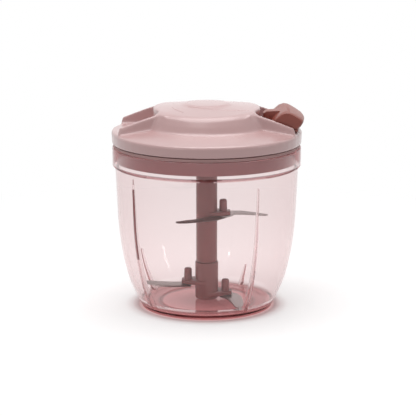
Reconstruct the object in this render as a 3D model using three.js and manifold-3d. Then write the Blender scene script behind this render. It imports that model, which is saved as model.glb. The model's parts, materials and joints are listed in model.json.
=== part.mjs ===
// Pull-cord vegetable chopper: a clear bowl, a lid with a cord reel inside, a T-handle docked in the
// lid's channel, and a removable stack of curved blades on a pin in the bowl's floor.
// Millimetres, +Z up, origin at the middle of the base, handle at +X.

import * as THREE from 'three';
import { mergeVertices, mergeGeometries } from 'three/addons/utils/BufferGeometryUtils.js';
import Module from 'manifold-3d';

const wasm = await Module();
wasm.setup();

// Clearances and the overrun of every cut
const seatGap = 0.3;
const overrun = 4.0;

// Bowl
const bowlRimRadius = 64.8;
const bowlRimTop = 111.2;
const bowlRimFoot = 99.7;
const bowlRimWall = 2.7;
const bowlRimStep = 1.77;
const bowlWall = 2.0;
const bowlFootRadius = 45.3;
const bowlFootRingWidth = 4.8;
const bowlFootRingHeight = 0.7;
const bowlBaseStepRadius = 32.5;
const bowlBaseStepHeight = 0.4;
const bowlFloorThickness = 1.9;
const bowlCornerRound = 4.0;
const bowlRibTop = 93.0;
const bowlRibTopProud = 1.3;
const bowlRibTopWidth = 1.2;
const bowlRibFootProud = 3.4;
const bowlRibFootWidth = 3.4;
const bowlRibAnglesDegrees = [-55, 34, 146, -121];
const pivotBossRadius = 4.5;
const pivotBossHeight = 0.6;

// Pin that the blade stack turns on
const pivotPinRadius = 2.0;
const pivotPinLength = 12.6;
const pivotPinSeat = 1.0;

// Lid cover
const lidOverhang = 0.4;
const lidSkirtHeight = 7.4;
const lidSkirtDraft = 0.3;
const lidEdgeRound = 1.7;
const lidWall = 2.2;
const lidTerraceRise = 4.3;
const lidRimRise = 1.2;
const lidCrownRise = 20.1;
const lidCrownLengthRadius = 316.5;
const lidCrownAcrossRadius = 162.0;
const lidPlateauRadius = 14.5;
const lidPlateauRamp = 3.5;
const lidPlateauHeight = 0.9;
const platformRadius = 40.5;
const platformFootRadius = 45.5;
const platformEdgeRound = 4.0;
const platformEdgeFall = 1.8;
const wingInset = 5.9;
const wingHalfWidth = 25.2;
const wingTopHalfWidth = 24.7;
const wingRoofStart = 29.0;
const wingRoofDrop = 10.1;
const wingCornerRound = 2.4;
const channelHalfWidth = 22.5;
const channelEndRadius = 36.5;
const channelCornerRadius = 5.0;
const channelFloorRise = 1.6;

// Lid base, seal and the screws that hold the cover
const sealHeight = 1.9;
const sealReach = 0.7;
const baseFloor = 2.0;
const basePlugDepth = 7.6;
const basePlugWall = 2.0;
const baseFlange = 2.0;
const baseFlangeReach = 1.0;
const plugGap = 0.7;
const screwInset = 14.4;
const screwCount = 4;
const screwShankRadius = 1.4;
const screwHeadRadius = 2.8;
const screwHeadHeight = 1.8;
const screwHeadRecess = 2.6;
const screwLength = 20.0;
const basePostRadius = 4.2;
const basePostHeight = 13.2;
const coverBossRadius = 3.6;

// Drive: bush, spindle with its clutch plate, pawls and ratchet
const driverHexRadius = 4.0;
const driverHexLength = 10.2;
const journalRadius = 6.0;
const journalGap = 0.3;
const bushWall = 1.5;
const bushFlangeReach = 2.0;
const bushFlangeHeight = 1.3;
const plateRadius = 20.0;
const plateThickness = 2.0;
const plateHubRadius = 4.4;
const plateHubHeight = 1.0;
const pawlCount = 2;
const pawlThickness = 3.2;
const pawlPinRadius = 1.4;
const pawlPinCircle = 11.5;
const pawlPinAngleDegrees = 55;
const pawlEyeRadius = 3.2;
const pawlTipRadius = 17.9;
const pawlTipAngleDegrees = 9;
const pawlTipHalfWidth = 0.9;
const ratchetTeeth = 12;
const ratchetTipRadius = 17.2;
const ratchetToothDepth = 2.2;
const ratchetWall = 3.0;
const ratchetHeight = 4.6;

// Cord reel and what it turns on
const axleRadius = 2.0;
const axleBelow = 6.4;
const axleTop = 3.6;
const runningGap = 0.3;
const reelDrumRadius = 19.5;
const reelDrumWall = 2.0;
const reelWeb = 1.5;
const reelFlangeRadius = 28.0;
const reelFlange = 1.2;
const reelSlot = 13.2;
const reelSkirtWall = 1.5;
const arborRadius = 4.2;
const springWidth = 9.0;
const springThickness = 0.5;
const springTurns = 7;
const springSteps = 16;
const springLidThickness = 1.4;

// Cord and its guide
const cordRadius = 0.95;
const cordTurns = 4;
const cordPitch = 2.35;
const cordSides = 6;
const cordSteps = 24;
const cordExitRise = 1.25;
const eyeletWall = 1.1;
const eyeletFlangeReach = 1.2;
const eyeletFlange = 1.0;
const knotRadius = 2.1;

// T-handle
const gripHalfLength = 21.4;
const gripBow = 1.9;
const gripInnerX = 43.9;
const gripOuterX = 64.6;
const gripBottomRise = 3.0;
const gripHeight = 11.7;
const gripEndRound = 1.2;
const stemStart = 38.6;
const stemHalfWidth = 5.0;
const stemTopDrop = 1.5;
const stemFlare = 3.2;
const stemRoot = 6.0;
const stemCornerRound = 2.0;
const capThickness = 1.5;
const capInset = 1.4;
const knotPocketHalfWidth = 3.4;
const knotPocketLength = 7.4;

// Blade stack
const shaftRadius = 7.3;
const hubRadius = 8.0;
const hubFloorGap = 0.4;
const hubTop = 29.9;
const spigotHexRadius = 5.0;
const spigotLength = 8.0;
const upperArmReach = 16.3;
const upperPegCircle = 11.4;
const lowerArmReach = 17.4;
const lowerPegCircle = 13.0;
const armHalfWidth = 4.2;
const armCornerRadius = 1.8;
const armThickness = 2.6;
const pegRadius = 2.75;
const pegTaper = 0.15;
const pegRound = 1.2;
const pegHeight = 8.1;
const upperArmFoot = 63.3;
const leftArmFoot = 14.6;
const rightArmFoot = 6.6;
const upperBladeReach = 42.4;
const leftBladeInset = 0.1;
const rightBladeInset = 4.7;
const bladeThickness = 1.0;
const bladeBevel = 3.4;
const bladeEdge = 0.12;

// Smoothness of round forms, in steps a turn
const bowlSteps = 46;
const roundSteps = 32;
const smallSteps = 20;
const tinySteps = 12;
const filletSteps = 3;

// Heights that follow from the sizes above
const lidRadius = bowlRimRadius + lidOverhang;
const wingReach = lidRadius - wingInset;
const sealFoot = bowlRimTop + seatGap;
const flangeFoot = sealFoot + sealHeight + seatGap;
const flangeTop = flangeFoot + baseFlange;
const coverFoot = flangeFoot + seatGap;
const baseFoot = bowlRimTop - basePlugDepth;
const baseFloorTop = baseFoot + baseFloor;
const terraceEdge = coverFoot + lidSkirtHeight;
const crownHeight = terraceEdge + lidCrownRise;
const channelFloor = terraceEdge + channelFloorRise;
const bowlRimInner = bowlRimRadius - bowlRimWall;
const bowlShoulder = bowlRimRadius - bowlRimStep;
const plugRadius = bowlRimInner - plugGap;
const screwCircle = plugRadius - screwInset;
const bowlFloorTop = bowlFootRingHeight + bowlBaseStepHeight + bowlFloorThickness;
const hubFoot = bowlFloorTop + pivotBossHeight + hubFloorGap;
const shaftTop = baseFoot - 2 * seatGap;
const bushTop = baseFloorTop + seatGap + bushFlangeHeight;
const plateFoot = bushTop + seatGap;
const plateTop = plateFoot + plateThickness;
const pawlFoot = plateTop + seatGap;
const pawlTop = pawlFoot + pawlThickness;
const ratchetTop = pawlFoot + ratchetHeight;
const reelFoot = ratchetTop + seatGap;
const slotFoot = reelFoot + reelWeb;
const slotTop = slotFoot + reelSlot;
const reelTop = slotTop + reelFlange;
const springFoot = slotFoot + 3 * seatGap;
const springTop = springFoot + springWidth;
const cordHeight = slotFoot + seatGap + cordRadius + cordPitch * cordTurns;
const cordExit = cordHeight + cordExitRise;
const windingRadius = reelDrumRadius + seatGap + cordRadius;
const gripBottom = channelFloor + gripBottomRise;
const gripTop = gripBottom + gripHeight;
const bladeDrop = seatGap + bladeThickness;
const leftBladeReach = bowlFootRadius - leftBladeInset;
const rightBladeReach = bowlFootRadius - rightBladeInset;

const degrees = THREE.MathUtils.degToRad;

// Shared helpers for closed solids

function signedVolume(geometry) {
  const p = geometry.attributes.position;
  const index = geometry.index;
  const a = new THREE.Vector3();
  const b = new THREE.Vector3();
  const c = new THREE.Vector3();
  let total = 0;
  for (let i = 0; i < index.count; i += 3) {
    a.fromBufferAttribute(p, index.getX(i));
    b.fromBufferAttribute(p, index.getX(i + 1));
    c.fromBufferAttribute(p, index.getX(i + 2));
    total += a.dot(b.cross(c));
  }
  return total;
}

// One closed body: shared vertices merged, empty triangles dropped, faces pointing out
function closed(source) {
  const loose = source.clone();
  loose.deleteAttribute('normal');
  loose.deleteAttribute('uv');
  const merged = mergeVertices(loose);
  const old = merged.index;
  const kept = [];
  for (let i = 0; i < old.count; i += 3) {
    const corner = [old.getX(i), old.getX(i + 1), old.getX(i + 2)];
    if (new Set(corner).size === corner.length) kept.push(...corner);
  }
  merged.setIndex(kept);
  if (signedVolume(merged) < 0) {
    for (let i = 0; i < kept.length; i += 3) {
      [kept[i], kept[i + 1]] = [kept[i + 1], kept[i]];
    }
    merged.setIndex(kept);
  }
  return merged;
}

function toSolid(geometry) {
  const body = closed(geometry);
  return new wasm.Manifold(new wasm.Mesh({
    numProp: 3,
    vertProperties: new Float32Array(body.attributes.position.array),
    triVerts: new Uint32Array(body.index.array),
  }));
}

function toGeometry(solid) {
  const mesh = solid.getMesh();
  const geometry = new THREE.BufferGeometry();
  geometry.setAttribute('position', new THREE.BufferAttribute(new Float32Array(mesh.vertProperties), 3));
  geometry.setIndex(new THREE.BufferAttribute(new Uint32Array(mesh.triVerts), 1));
  return geometry;
}

// Turned form about +Z from [radius, height] points
function turned(points, steps = roundSteps) {
  const profile = points.map(([radius, height]) => new THREE.Vector2(radius, height));
  const geometry = new THREE.LatheGeometry(profile, steps);
  geometry.rotateX(Math.PI / 2);
  return geometry;
}

// Turned tube with a rectangular wall
function ring(inner, outer, foot, top, steps = roundSteps) {
  return turned([[inner, foot], [outer, foot], [outer, top], [inner, top], [inner, foot]], steps);
}

function rod(radius, foot, top, steps = smallSteps) {
  return turned([[0, foot], [radius, foot], [radius, top], [0, top]], steps);
}

// Prism between two heights from an outline in the XY plane
function prism(shape, foot, top, curveSegments = 6) {
  const options = { depth: top - foot, bevelEnabled: false, curveSegments };
  const geometry = new THREE.ExtrudeGeometry(shape, options);
  geometry.translate(0, 0, foot);
  return geometry;
}

function polygonShape(radius, corners, turn = 0) {
  const shape = new THREE.Shape();
  for (let i = 0; i < corners; i += 1) {
    const angle = turn + (i / corners) * 2 * Math.PI;
    const x = radius * Math.cos(angle);
    const y = radius * Math.sin(angle);
    if (i === 0) shape.moveTo(x, y);
    else shape.lineTo(x, y);
  }
  shape.closePath();
  return shape;
}

// Skin through rings of equally many points, closed by a fan at each end
function loft(rings) {
  const count = rings[0].length;
  const points = rings.flat();
  const triangles = [];
  for (let r = 0; r + 1 < rings.length; r += 1) {
    for (let k = 0; k < count; k += 1) {
      const a = r * count + k;
      const b = r * count + (k + 1) % count;
      triangles.push(a, b, b + count, a, b + count, a + count);
    }
  }
  for (const first of [0, (rings.length - 1) * count]) {
    const middle = new THREE.Vector3();
    for (let k = 0; k < count; k += 1) middle.addScaledVector(points[first + k], 1 / count);
    const hub = points.push(middle) - 1;
    for (let k = 0; k < count; k += 1) {
      const a = first + k;
      const b = first + (k + 1) % count;
      triangles.push(...(first === 0 ? [hub, b, a] : [hub, a, b]));
    }
  }
  const geometry = new THREE.BufferGeometry().setFromPoints(points);
  geometry.setIndex(triangles);
  return geometry;
}

function turnAbout(geometry, angle) {
  const copy = geometry.clone();
  copy.rotateZ(angle);
  return copy;
}

const chopper = new THREE.Group();

function place(name, shape, look) {
  const geometry = shape instanceof THREE.BufferGeometry ? closed(shape) : toGeometry(shape);
  geometry.computeVertexNormals();
  const mesh = new THREE.Mesh(geometry, new THREE.MeshStandardMaterial(look));
  mesh.name = name;
  chopper.add(mesh);
  return mesh;
}

const looks = {
  clearPink: { color: 0xe7c6c8, roughness: 0.06, metalness: 0, transparent: true, opacity: 0.35 },
  mattePink: { color: 0xd9b4b3, roughness: 0.55, metalness: 0 },
  paleSilicone: { color: 0xc9a3a1, roughness: 0.6, metalness: 0 },
  darkRose: { color: 0x8f5f5f, roughness: 0.4, metalness: 0 },
  brownRose: { color: 0xa2655d, roughness: 0.45, metalness: 0 },
  shaftRose: { color: 0x7d5452, roughness: 0.4, metalness: 0 },
  steel: { color: 0xa9a5a4, roughness: 0.25, metalness: 1 },
  whitePlastic: { color: 0xe8e4df, roughness: 0.45, metalness: 0 },
  cordPink: { color: 0xd8c3bf, roughness: 0.9, metalness: 0 },
};

// The bowl: a barrel wall that draws in to the foot, a thick rim, inner ribs and a stepped base

// Shares of the wall's height and of the width that it gains from foot to shoulder
const bowlSideShare = [
  [0.018, 0.05], [0.06, 0.158], [0.121, 0.322], [0.202, 0.506], [0.303, 0.658], [0.424, 0.788],
  [0.586, 0.895], [0.788, 0.95], [1, 1],
];

function bowlOutside() {
  return bowlSideShare.map(([height, width]) => [
    bowlFootRadius + (bowlShoulder - bowlFootRadius) * width,
    bowlRimFoot * height,
  ]);
}

// Outer radius of the wall at a height
function bowlRadiusAt(height) {
  const side = bowlOutside();
  for (let i = 1; i < side.length; i += 1) {
    const [r0, z0] = side[i - 1];
    const [r1, z1] = side[i];
    if (height <= z1) return r0 + (r1 - r0) * Math.max(0, (height - z0) / (z1 - z0));
  }
  return bowlShoulder;
}

function bowl() {
  const outside = bowlOutside();
  const footInner = bowlFootRadius - bowlFootRingWidth;
  const footRound = bowlFootRingHeight / 2;
  const cornerFoot = bowlFloorTop + bowlCornerRound;
  const cornerRadius = bowlRadiusAt(cornerFoot) - bowlWall;
  const inside = outside.filter(([, height]) => height > cornerFoot).reverse();
  const floorCorner = [];
  const cornerSteps = 4;
  for (let i = 0; i <= cornerSteps; i += 1) {
    const angle = (i / cornerSteps) * Math.PI / 2;
    floorCorner.push([
      cornerRadius - bowlCornerRound * (1 - Math.cos(angle)),
      cornerFoot - bowlCornerRound * Math.sin(angle),
    ]);
  }
  const profile = [
    [0, bowlFootRingHeight + bowlBaseStepHeight],
    [bowlBaseStepRadius, bowlFootRingHeight + bowlBaseStepHeight],
    [bowlBaseStepRadius + bowlBaseStepHeight, bowlFootRingHeight],
    [footInner, bowlFootRingHeight],
    [footInner + footRound, 0],
    [bowlFootRadius - footRound, 0],
    ...outside,
    [bowlRimRadius - footRound, bowlRimFoot],
    [bowlRimRadius, bowlRimFoot + footRound],
    [bowlRimRadius, bowlRimTop - footRound],
    [bowlRimRadius - footRound, bowlRimTop],
    [bowlRimInner + footRound, bowlRimTop],
    [bowlRimInner, bowlRimTop - footRound],
    [bowlRimInner, bowlRimFoot + bowlWall],
    ...inside.map(([radius, height]) => [radius - bowlWall, height]),
    ...floorCorner,
    [pivotBossRadius + pivotBossHeight, bowlFloorTop],
    [pivotBossRadius, bowlFloorTop + pivotBossHeight],
    [pivotPinRadius + seatGap, bowlFloorTop + pivotBossHeight],
    [pivotPinRadius + seatGap, bowlFloorTop - pivotPinSeat],
    [0, bowlFloorTop - pivotPinSeat],
  ];
  let body = toSolid(turned(profile, bowlSteps));
  for (const angleDegrees of bowlRibAnglesDegrees) body = body.add(toSolid(bowlRib(angleDegrees)));
  return body;
}

// A rib on the inside of the wall that starts in the floor and gets thinner and lower on its way up
function bowlRib(angleDegrees) {
  const foot = bowlFloorTop - bowlFloorThickness / 2;
  const heights = [foot, ...bowlOutside().map(([, height]) => height)]
    .filter((height) => height >= foot && height < bowlRibTop)
    .concat(bowlRibTop);
  const rings = heights.map((height) => {
    const risen = (height - foot) / (bowlRibTop - foot);
    const wall = bowlRadiusAt(height) - bowlWall;
    const half = THREE.MathUtils.lerp(bowlRibFootWidth, bowlRibTopWidth, risen) / 2;
    const inner = wall - THREE.MathUtils.lerp(bowlRibFootProud, bowlRibTopProud, risen);
    const rooted = wall + bowlWall / 2;
    return [[rooted, -half], [rooted, half], [inner, half / 2], [inner, -half / 2]].map(
      ([x, y]) => new THREE.Vector3(x, y, height),
    );
  });
  // angle 0 faces the front, and it grows towards the handle's side
  return turnAbout(loft(rings), degrees(angleDegrees) - Math.PI / 2);
}

function pivotPin() {
  const foot = bowlFloorTop - pivotPinSeat + seatGap;
  const top = foot + pivotPinLength;
  const nose = pivotPinRadius / 2;
  return turned([
    [0, foot], [pivotPinRadius, foot], [pivotPinRadius, top - nose],
    [nose, top], [0, top],
  ], smallSteps);
}

// The lid cover: a circular skirt with a fillet, terraces that fall to the edge, and a raised body: a
// round domed platform with sloping sides, and two wings that the channels cut into thin ridges

// Steps along the body's outline: across a wing's end, along its wall, and round the platform
const endSteps = 6;
const wallSteps = 2;
const arcSteps = 18;

// Outline of the raised body: a circle joined to the straight walls and ends of two wings
function bodyOutline(radius, half, reach) {
  const crease = Math.sqrt(radius * radius - half * half);
  const corner = Math.atan2(half, crease);
  const points = [];
  for (const side of [1, -1]) {
    const add = (x, y) => points.push(new THREE.Vector2(side * x, side * y));
    for (let k = 0; k < endSteps; k += 1) add(reach, half * (2 * (k / endSteps) - 1));
    for (let k = 0; k < wallSteps; k += 1) add(reach + (crease - reach) * (k / wallSteps), half);
    for (let k = 0; k < arcSteps; k += 1) {
      const angle = corner + (Math.PI - 2 * corner) * (k / arcSteps);
      add(radius * Math.cos(angle), radius * Math.sin(angle));
    }
    for (let k = 0; k < wallSteps; k += 1) add(-crease + (crease - reach) * (k / wallSteps), half);
  }
  return points;
}

function terraceHeight(x, y) {
  const radius = Math.hypot(x, y);
  const slope = lidTerraceRise / (lidRadius - platformFootRadius);
  const side = Math.abs(x) / radius;
  return terraceEdge + (lidRadius - radius) * slope + lidRimRise * side ** 8;
}

// The dome is flatter along the lid than across it, and the wings fall away from it
function domeHeight(x, y) {
  const fallAlong = x * x / (2 * lidCrownLengthRadius);
  const fallAcross = y * y / (2 * lidCrownAcrossRadius);
  return crownHeight - lidPlateauHeight - fallAlong - fallAcross;
}

// The platform's roof rounds off towards its edge, and a wing's roof falls from where it leaves the dome
function roofHeight(x, y) {
  const intoEdge = Math.max(0, Math.hypot(x, y) - platformRadius + platformEdgeRound) / platformEdgeRound;
  const platform = domeHeight(x, y) - platformEdgeFall * intoEdge * intoEdge;
  const run = Math.abs(Math.abs(x) - wingRoofStart) / (wingReach - wingRoofStart);
  const wing = domeHeight(wingRoofStart, y) - wingRoofDrop * run;
  const soft = lidPlateauHeight / 2;
  const pastRound = Math.max(0, Math.abs(x) - wingReach + wingCornerRound) / wingCornerRound;
  const fall = wingCornerRound * (1 - Math.sqrt(Math.max(0, 1 - pastRound * pastRound)));
  return (platform + wing + Math.hypot(platform - wing, soft)) / 2 - fall;
}

// Shares of the way from the foot of the raised body to its top edge: across, and up
const bodySideShare = [[0, 0.02], [0.1, 0.06], [0.25, 0.19], [0.6, 0.6], [1, 0.97]];

// Shares of the platform's radius at which rings run round its roof
const roofEdgeShare = 0.985;
const roofRingShare = [0.945, 0.885];

// The lid's outer form, or a smaller one inside it that leaves a wall of the given thickness
function lidForm(wall = 0) {
  const reach = wingReach - wall;
  const footOutline = bodyOutline(platformFootRadius - wall, wingHalfWidth - wall, reach);
  const topOutline = bodyOutline(platformRadius - wall, wingTopHalfWidth - wall, reach);
  const ringOf = (points, heightAt) => points.map(({ x, y }) => new THREE.Vector3(x, y, heightAt(x, y)));
  const circle = (radius) => footOutline.map((p) => p.clone().setLength(radius));
  const radius = lidRadius - wall;
  const foot = wall > 0 ? coverFoot - overrun : coverFoot;
  const rings = [ringOf(circle(radius - lidSkirtDraft), () => foot)];
  for (let i = 0; i <= filletSteps; i += 1) {
    const angle = (i / filletSteps) * Math.PI / 2;
    const inward = lidEdgeRound * (1 - Math.cos(angle));
    const down = wall + lidEdgeRound * (1 - Math.sin(angle));
    rings.push(ringOf(circle(radius - inward), (x, y) => {
      const unit = (lidRadius - lidEdgeRound) / Math.hypot(x, y);
      return terraceHeight(x * unit, y * unit) - down;
    }));
  }
  for (const [across, up] of bodySideShare) {
    rings.push(footOutline.map((low, i) => {
      const high = topOutline[i];
      const from = terraceHeight(low.x, low.y);
      const to = roofHeight(high.x, high.y);
      const p = low.clone().lerp(high, across);
      return new THREE.Vector3(p.x, p.y, from + (to - from) * up - wall);
    }));
  }
  // the roof, from its soft edge in to the plateau
  const roofCircle = (length) => topOutline.map((p) => p.clone().setLength(length));
  const roofRings = [
    topOutline.map((p) => p.clone().multiplyScalar(roofEdgeShare)),
    ...roofRingShare.map((share) => roofCircle(platformRadius * share - wall)),
    roofCircle(lidPlateauRadius + lidPlateauRamp),
  ];
  for (const points of roofRings) rings.push(ringOf(points, (x, y) => roofHeight(x, y) - wall));
  for (const plateauRadius of [lidPlateauRadius, lidPlateauRadius / 2]) {
    rings.push(ringOf(circle(plateauRadius), (x, y) => roofHeight(x, y) + lidPlateauHeight - wall));
  }
  return toSolid(loft(rings));
}

// Plan of a channel, grown by a wall where it shapes the hollow under it. It ends at the round side of
// the platform, and a fillet joins that side to each ridge.
function channelSolid(side, wall = 0) {
  const half = channelHalfWidth + wall;
  const round = channelCornerRadius + wall;
  const endRadius = channelEndRadius - wall;
  const roundX = Math.sqrt((endRadius + round) ** 2 - (half - round) ** 2);
  const roundAngle = Math.atan2(half - round, roundX);
  const end = lidRadius + overrun;
  const plan = new THREE.Shape();
  plan.moveTo(end, -half);
  plan.lineTo(end, half);
  plan.lineTo(roundX, half);
  plan.absarc(roundX, half - round, round, Math.PI / 2, Math.PI + roundAngle);
  plan.absarc(0, 0, endRadius, roundAngle, -roundAngle, true);
  plan.absarc(roundX, round - half, round, Math.PI - roundAngle, 3 * Math.PI / 2);
  plan.closePath();
  const cut = prism(plan, channelFloor - wall, crownHeight + overrun);
  return toSolid(turnAbout(cut, side > 0 ? 0 : Math.PI));
}

function screwPlaces() {
  const places = [];
  for (let i = 0; i < screwCount; i += 1) {
    const angle = Math.PI / 4 + (i / screwCount) * 2 * Math.PI;
    places.push([screwCircle * Math.cos(angle), screwCircle * Math.sin(angle)]);
  }
  return places;
}

const postTop = baseFloorTop + basePostHeight;
const screwFoot = baseFoot + screwHeadRecess - screwHeadHeight;
const axleSeatTop = reelTop + axleTop;

function lidCover() {
  const outer = lidForm();
  const channels = [1, -1].map((side) => channelSolid(side));
  let hollow = lidForm(lidWall);
  for (const side of [1, -1]) hollow = hollow.subtract(channelSolid(side, lidWall));
  const lining = lidForm(lidWall / 2);
  let body = outer.subtract(hollow);
  for (const [x, y] of screwPlaces()) {
    const boss = rod(coverBossRadius, postTop + seatGap, crownHeight, tinySteps);
    const bore = rod(screwShankRadius + seatGap, coverFoot, screwFoot + screwLength + seatGap, tinySteps);
    const lug = toSolid(boss.translate(x, y, 0)).intersect(lining);
    body = body.add(lug).subtract(toSolid(bore.translate(x, y, 0)));
  }
  const seat = toSolid(rod(arborRadius + seatGap, reelTop + 2 * seatGap, crownHeight)).intersect(lining);
  body = body.add(seat).subtract(toSolid(rod(axleRadius + seatGap, reelTop, axleSeatTop + seatGap)));
  for (const channel of channels) body = body.subtract(channel);
  const eye = rod(cordRadius + seatGap + eyeletWall + seatGap, 0, 2 * overrun);
  eye.rotateY(Math.PI / 2);
  eye.translate(channelEndRadius - overrun, 0, cordExit);
  return body.subtract(toSolid(eye));
}

// The lid base: a plug that drops into the rim, with a flange, four posts and the bush's hole
function lidBase() {
  const bushHole = journalRadius + journalGap + bushWall + seatGap;
  const inner = plugRadius - basePlugWall;
  const chamfer = basePlugWall / 2;
  let body = toSolid(turned([
    [bushHole, baseFoot],
    [plugRadius - chamfer, baseFoot],
    [plugRadius, baseFoot + chamfer],
    [plugRadius, flangeFoot],
    [plugRadius + baseFlangeReach, flangeFoot],
    [plugRadius + baseFlangeReach, flangeTop],
    [inner, flangeTop],
    [inner, baseFloorTop],
    [bushHole, baseFloorTop],
    [bushHole, baseFoot],
  ], bowlSteps));
  for (const [x, y] of screwPlaces()) {
    const post = rod(basePostRadius, baseFoot + baseFloor / 2, postTop);
    const bore = rod(screwShankRadius + seatGap, baseFoot - overrun, postTop + overrun, tinySteps);
    const sink = rod(screwHeadRadius + seatGap, baseFoot - overrun, baseFoot + screwHeadRecess, tinySteps);
    body = body.add(toSolid(post.translate(x, y, 0)));
    for (const cut of [bore, sink]) body = body.subtract(toSolid(cut.translate(x, y, 0)));
  }
  return body;
}

function lidSeal() {
  const inner = plugRadius + seatGap;
  const outer = bowlRimRadius - sealReach;
  const lip = sealHeight / 4;
  return turned([
    [inner, sealFoot], [outer - lip, sealFoot], [outer, sealFoot + lip],
    [outer, sealFoot + sealHeight - lip], [outer - lip, sealFoot + sealHeight],
    [inner, sealFoot + sealHeight], [inner, sealFoot],
  ], bowlSteps);
}

function coverScrew() {
  const headTop = screwFoot + screwHeadHeight - seatGap;
  const tip = screwFoot + screwLength;
  return turned([
    [0, screwFoot], [screwHeadRadius, screwFoot], [screwHeadRadius, headTop],
    [screwShankRadius, headTop], [screwShankRadius, tip - screwShankRadius], [0, tip],
  ], tinySteps);
}

// The drive: a flanged bush in the base, and the spindle that carries the clutch plate and the driver

function driveBush() {
  const inner = journalRadius + journalGap;
  const outer = inner + bushWall;
  const flange = outer + bushFlangeReach;
  return turned([
    [inner, baseFoot + seatGap], [outer, baseFoot + seatGap], [outer, baseFloorTop + seatGap],
    [flange, baseFloorTop + seatGap], [flange, bushTop], [inner, bushTop], [inner, baseFoot + seatGap],
  ], roundSteps);
}

function pawlPinPlace(turn) {
  const angle = degrees(pawlPinAngleDegrees) + (turn / pawlCount) * 2 * Math.PI;
  return [pawlPinCircle * Math.cos(angle), pawlPinCircle * Math.sin(angle)];
}

function driveSpindle() {
  const hexFoot = shaftTop - driverHexLength;
  let body = toSolid(turned([
    [0, shaftTop + seatGap], [journalRadius, shaftTop + seatGap], [journalRadius, plateFoot],
    [plateRadius, plateFoot], [plateRadius, plateTop], [plateHubRadius, plateTop],
    [plateHubRadius, plateTop + plateHubHeight], [0, plateTop + plateHubHeight],
  ]));
  const driver = prism(polygonShape(driverHexRadius, 6), hexFoot, shaftTop + seatGap + journalGap);
  body = body.add(toSolid(driver));
  for (let i = 0; i < pawlCount; i += 1) {
    const [x, y] = pawlPinPlace(i);
    const pin = rod(pawlPinRadius, plateFoot + plateThickness / 2, pawlTop + seatGap, tinySteps);
    body = body.add(toSolid(pin.translate(x, y, 0)));
  }
  const bore = rod(axleRadius + runningGap, plateTop - axleBelow - seatGap, plateTop + overrun);
  return body.subtract(toSolid(bore));
}

// A pawl: an eye on its pin, and an arm that tapers to the tip between two ratchet teeth
function pawl(turn) {
  const angle = (turn / pawlCount) * 2 * Math.PI;
  const [px, py] = pawlPinPlace(0);
  const tipAngle = degrees(pawlTipAngleDegrees);
  const tip = new THREE.Vector2(pawlTipRadius * Math.cos(tipAngle), pawlTipRadius * Math.sin(tipAngle));
  const eye = new THREE.Vector2(px, py);
  const along = tip.clone().sub(eye).normalize();
  const across = new THREE.Vector2(-along.y, along.x);
  const corner = (start, forward, side) => start.clone()
    .addScaledVector(along, forward).addScaledVector(across, side);
  const root = pawlEyeRadius * 0.8;
  const outline = [
    corner(eye, 0, -root),
    corner(tip, -pawlTipHalfWidth, -pawlTipHalfWidth),
    corner(tip, 0, -pawlTipHalfWidth / 2),
    corner(tip, 0, pawlTipHalfWidth),
    corner(eye, 0, root),
  ];
  const arm = toSolid(prism(new THREE.Shape(outline), pawlFoot, pawlTop));
  const boss = toSolid(rod(pawlEyeRadius, pawlFoot, pawlTop).translate(px, py, 0));
  const hole = rod(pawlPinRadius + seatGap, pawlFoot - overrun, pawlTop + overrun, tinySteps);
  const bore = toSolid(hole.translate(px, py, 0));
  return turnAbout(toGeometry(arm.add(boss).subtract(bore)), angle);
}

// The ratchet ring: inner saw teeth, each with a face square to the turn and a long ramp
function ratchetRing() {
  const rim = ratchetTipRadius + ratchetToothDepth + ratchetWall;
  const shape = new THREE.Shape();
  shape.absarc(0, 0, rim, 0, 2 * Math.PI);
  const hole = new THREE.Path();
  const rampSteps = 3;
  for (let i = 0; i < ratchetTeeth; i += 1) {
    for (let k = 0; k <= rampSteps; k += 1) {
      const angle = ((i + k / rampSteps) / ratchetTeeth) * 2 * Math.PI;
      const radius = ratchetTipRadius + ratchetToothDepth * (1 - k / rampSteps);
      const x = radius * Math.cos(angle);
      const y = radius * Math.sin(angle);
      if (i === 0 && k === 0) hole.moveTo(x, y);
      else hole.lineTo(x, y);
    }
  }
  shape.holes.push(hole);
  return prism(shape, pawlFoot, ratchetTop, 20);
}

// The reel: one turned form with a web, a drum between two flanges, and a skirt round the ratchet
function cordReel() {
  const bore = axleRadius + runningGap;
  const drumInner = reelDrumRadius - reelDrumWall;
  const skirtInner = ratchetTipRadius + ratchetToothDepth + ratchetWall + seatGap;
  const skirtOuter = skirtInner + reelSkirtWall;
  return turned([
    [bore, reelFoot], [skirtInner, reelFoot], [skirtInner, pawlFoot], [skirtOuter, pawlFoot],
    [skirtOuter, reelFoot], [reelFlangeRadius, reelFoot], [reelFlangeRadius, slotFoot],
    [reelDrumRadius, slotFoot], [reelDrumRadius, slotTop], [reelFlangeRadius, slotTop],
    [reelFlangeRadius, reelTop], [drumInner, reelTop], [drumInner, slotFoot],
    [bore, slotFoot], [bore, reelFoot],
  ]);
}

function reelAxle() {
  const foot = plateTop - axleBelow;
  const chamfer = axleRadius / 4;
  return turned([
    [0, foot], [axleRadius - chamfer, foot], [axleRadius, foot + chamfer],
    [axleRadius, axleSeatTop - chamfer], [axleRadius - chamfer, axleSeatTop], [0, axleSeatTop],
  ], smallSteps);
}

function springArbor() {
  return ring(axleRadius + seatGap, arborRadius, slotFoot + seatGap, reelTop + seatGap, smallSteps);
}

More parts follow.
